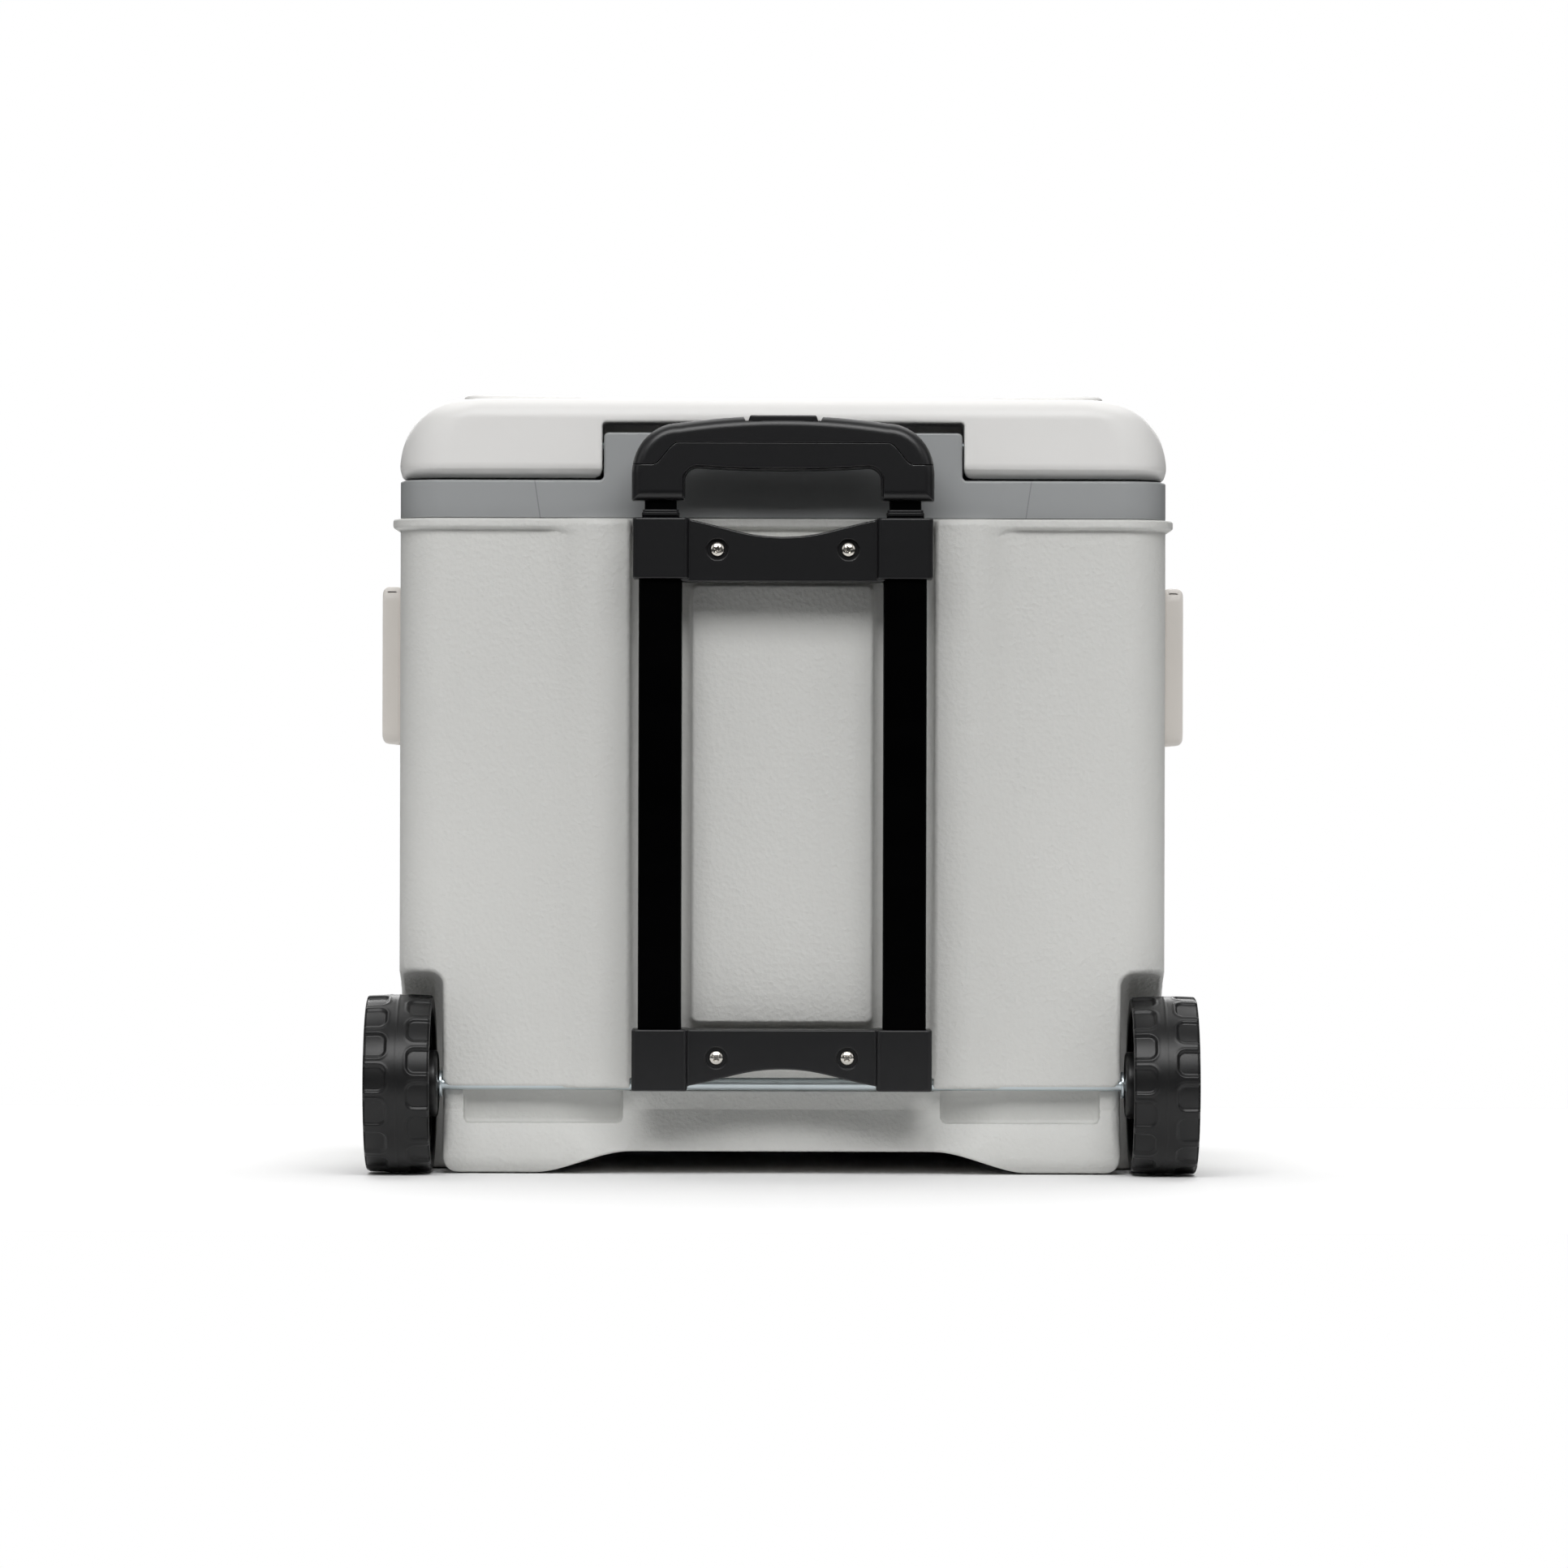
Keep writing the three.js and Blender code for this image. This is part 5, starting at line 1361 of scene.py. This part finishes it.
around = lambda reach, step: [lines(c - reach, c + reach, step) for c in (drain_y, drain_z)]
cast(
    "drain_spout", drain_fitting,
    [
        span(
            drain_low, drain_high, 0, 3, (drain_low[0] - 1, drain_low[0] + 2, 0.8),
            (half - 1, drain_high[0] + 1, 0.8)
        ),
        *around(22, 0.9)
    ],
    smooth_polyethylene, "cooler_body", "handle_plastic", ["drain_fitting"]
)
cast(
    "drain_knob", drain_cap, [span(knob_low, knob_high, 0, 0.8), *around(16, 0.7)], sandy_nylon,
    "drain_cap", "black_plastic", ["drain_cap"]
)
cast(
    "drain_seal_ring", seal, [span(seal_low, seal_high, 0, 0.5), *around(15, 0.7)], seal_rubber,
    "drain_seal", "black_rubber", ["drain_gasket"]
)

# %% [markdown]
# ## Pieces whose CAD shape is already right
# The foam, the release bar, its spring and the tube plugs are hidden or plain, and their CAD shapes are what
# they should be. They only take a better finish.

# %% Finishes on the carried-over pieces
carried = {
    "insulation_foam": foam_finish, "lid_foam": foam_finish, "release_link": zinc_plated,
    "button_spring": spring_wire, "inner_tube_plug_left": sandy_nylon, "inner_tube_plug_right": sandy_nylon
}
for node, finish in carried.items():
    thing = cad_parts[node]
    for slot in thing.material_slots:
        slot.link = "OBJECT"
        slot.material = finish
print("carried over:", len(carried))

# %% [markdown]
# ## Floor, light and camera
# A product stands on white paper in a dark room, and only the lamps and the lit paper light it. That is
# why its white walls are bright while its black plastics stay black: what they mirror, the room behind the
# camera, is dark. The paper is lit until it burns out to white, so only a soft contact shadow is left.


# %% The floor
def paper_sheet():
    material, tree, shader, place = blank("white_paper")
    fibres = add(tree, "ShaderNodeTexNoise", {"Vector": place, "Scale": 300.0, "Detail": 3.0})
    tint = add(
        tree, "ShaderNodeMixRGB",
        {"Fac": fibres.outputs["Fac"], "Color1": linear("#fafafa"), "Color2": linear("#ffffff")}
    )
    tree.links.new(tint.outputs[0], shader.inputs["Base Color"])
    shader.inputs["Roughness"].default_value = 0.95
    shader.inputs["Specular IOR Level"].default_value = 0.2
    mesh = bpy.data.meshes.new("paper_sheet")
    wide, near, far = 1.15, -0.75, 0.75
    mesh.from_pydata(
        [(-wide, near, 0), (wide, near, 0), (wide, far, 0), (-wide, far, 0)], [], [(0, 1, 2, 3)]
    )
    mesh.materials.append(material)
    sheet = bpy.data.objects.new("paper_sheet", mesh)
    bpy.context.collection.objects.link(sheet)
    sheet.location.z = -0.0005


paper_sheet()
print("paper laid")

# %% [markdown]
# The room is nearly dark at the height of the lens and brightens towards the ceiling. Its backdrop is lit
# white apart from that, so what the camera sees behind the cooler is plain white paper.


# %% The room
def studio_room(horizon, ceiling):
    world = bpy.data.worlds.new("studio_room")
    world.use_nodes = True
    tree = world.node_tree
    tree.nodes.clear()
    way = add(tree, "ShaderNodeTexCoord").outputs["Generated"]
    height = add(tree, "ShaderNodeSeparateXYZ", {"Vector": way}).outputs["Z"]
    glow = add(
        tree, "ShaderNodeMapRange",
        {"Value": height, "From Min": 0.1, "From Max": 0.85, "To Min": horizon, "To Max": ceiling},
        interpolation_type="SMOOTHSTEP"
    )
    room = add(tree, "ShaderNodeBackground", {"Strength": glow.outputs[0]})
    backdrop = add(tree, "ShaderNodeBackground", {"Color": [1, 1, 1, 1], "Strength": 1.0})
    seen = add(tree, "ShaderNodeLightPath").outputs["Is Camera Ray"]
    mix = add(tree, "ShaderNodeMixShader", {0: seen, 1: room.outputs[0], 2: backdrop.outputs[0]})
    room.inputs["Color"].default_value = [1, 1, 1, 1]
    add(tree, "ShaderNodeOutputWorld", {"Surface": mix.outputs[0]})
    bpy.context.scene.world = world


studio_room(0.03, 0.35)


# %% The lamps
def lamp(name, place, look_at, size, watts):
    data = bpy.data.lights.new(name, "AREA")
    data.shape = "RECTANGLE"
    data.size, data.size_y = size
    data.energy = watts
    thing = bpy.data.objects.new(name, data)
    thing.location = place
    thing.rotation_euler = (Vector(look_at) - Vector(place)).to_track_quat("-Z", "Y").to_euler()
    bpy.context.collection.objects.link(thing)


lamp("key_panel", (0, -2.2, 2.1), (0, -0.2, 0.3), (2.8, 1.1), 58)
lamp("top_panel", (0, 0.9, 2.4), (0, 0.2, 0), (3.0, 2.0), 30)
lamp("floor_panel", (0, 2.4, 1.3), (0, 0.5, 0), (3.0, 0.8), 34)
lamp("left_panel", (-2.8, -1.6, 1.6), (0, -0.1, 0.3), (1.4, 1.8), 7)
lamp("right_panel", (2.8, -1.6, 1.6), (0, -0.1, 0.3), (1.4, 1.8), 7)
bpy.context.scene.view_settings.view_transform = "Standard"
print("lamps:", len(bpy.data.lights))

# %% [markdown]
# The camera stands 4.5 m behind the cooler at half its height, so its sides hardly taper. A long lens then
# fills the frame as a product picture does.

# %% The camera
DISTANCE = 4.5
eye = bpy.data.cameras.new("camera")
eye.lens = 153.8
eye.sensor_width = 36
camera = bpy.data.objects.new("camera", eye)
camera.location = (0.0011, rear * MM - DISTANCE, 0.262)
camera.rotation_euler = (math.radians(90), math.radians(-0.15), 0)
bpy.context.collection.objects.link(camera)
bpy.context.scene.camera = camera

# %% [markdown]
# ## Face count and the end
# The number of faces in all the remade pieces is printed.

# %% Face count
print("faces", sum(len(piece.data.polygons) for piece in made.values()))
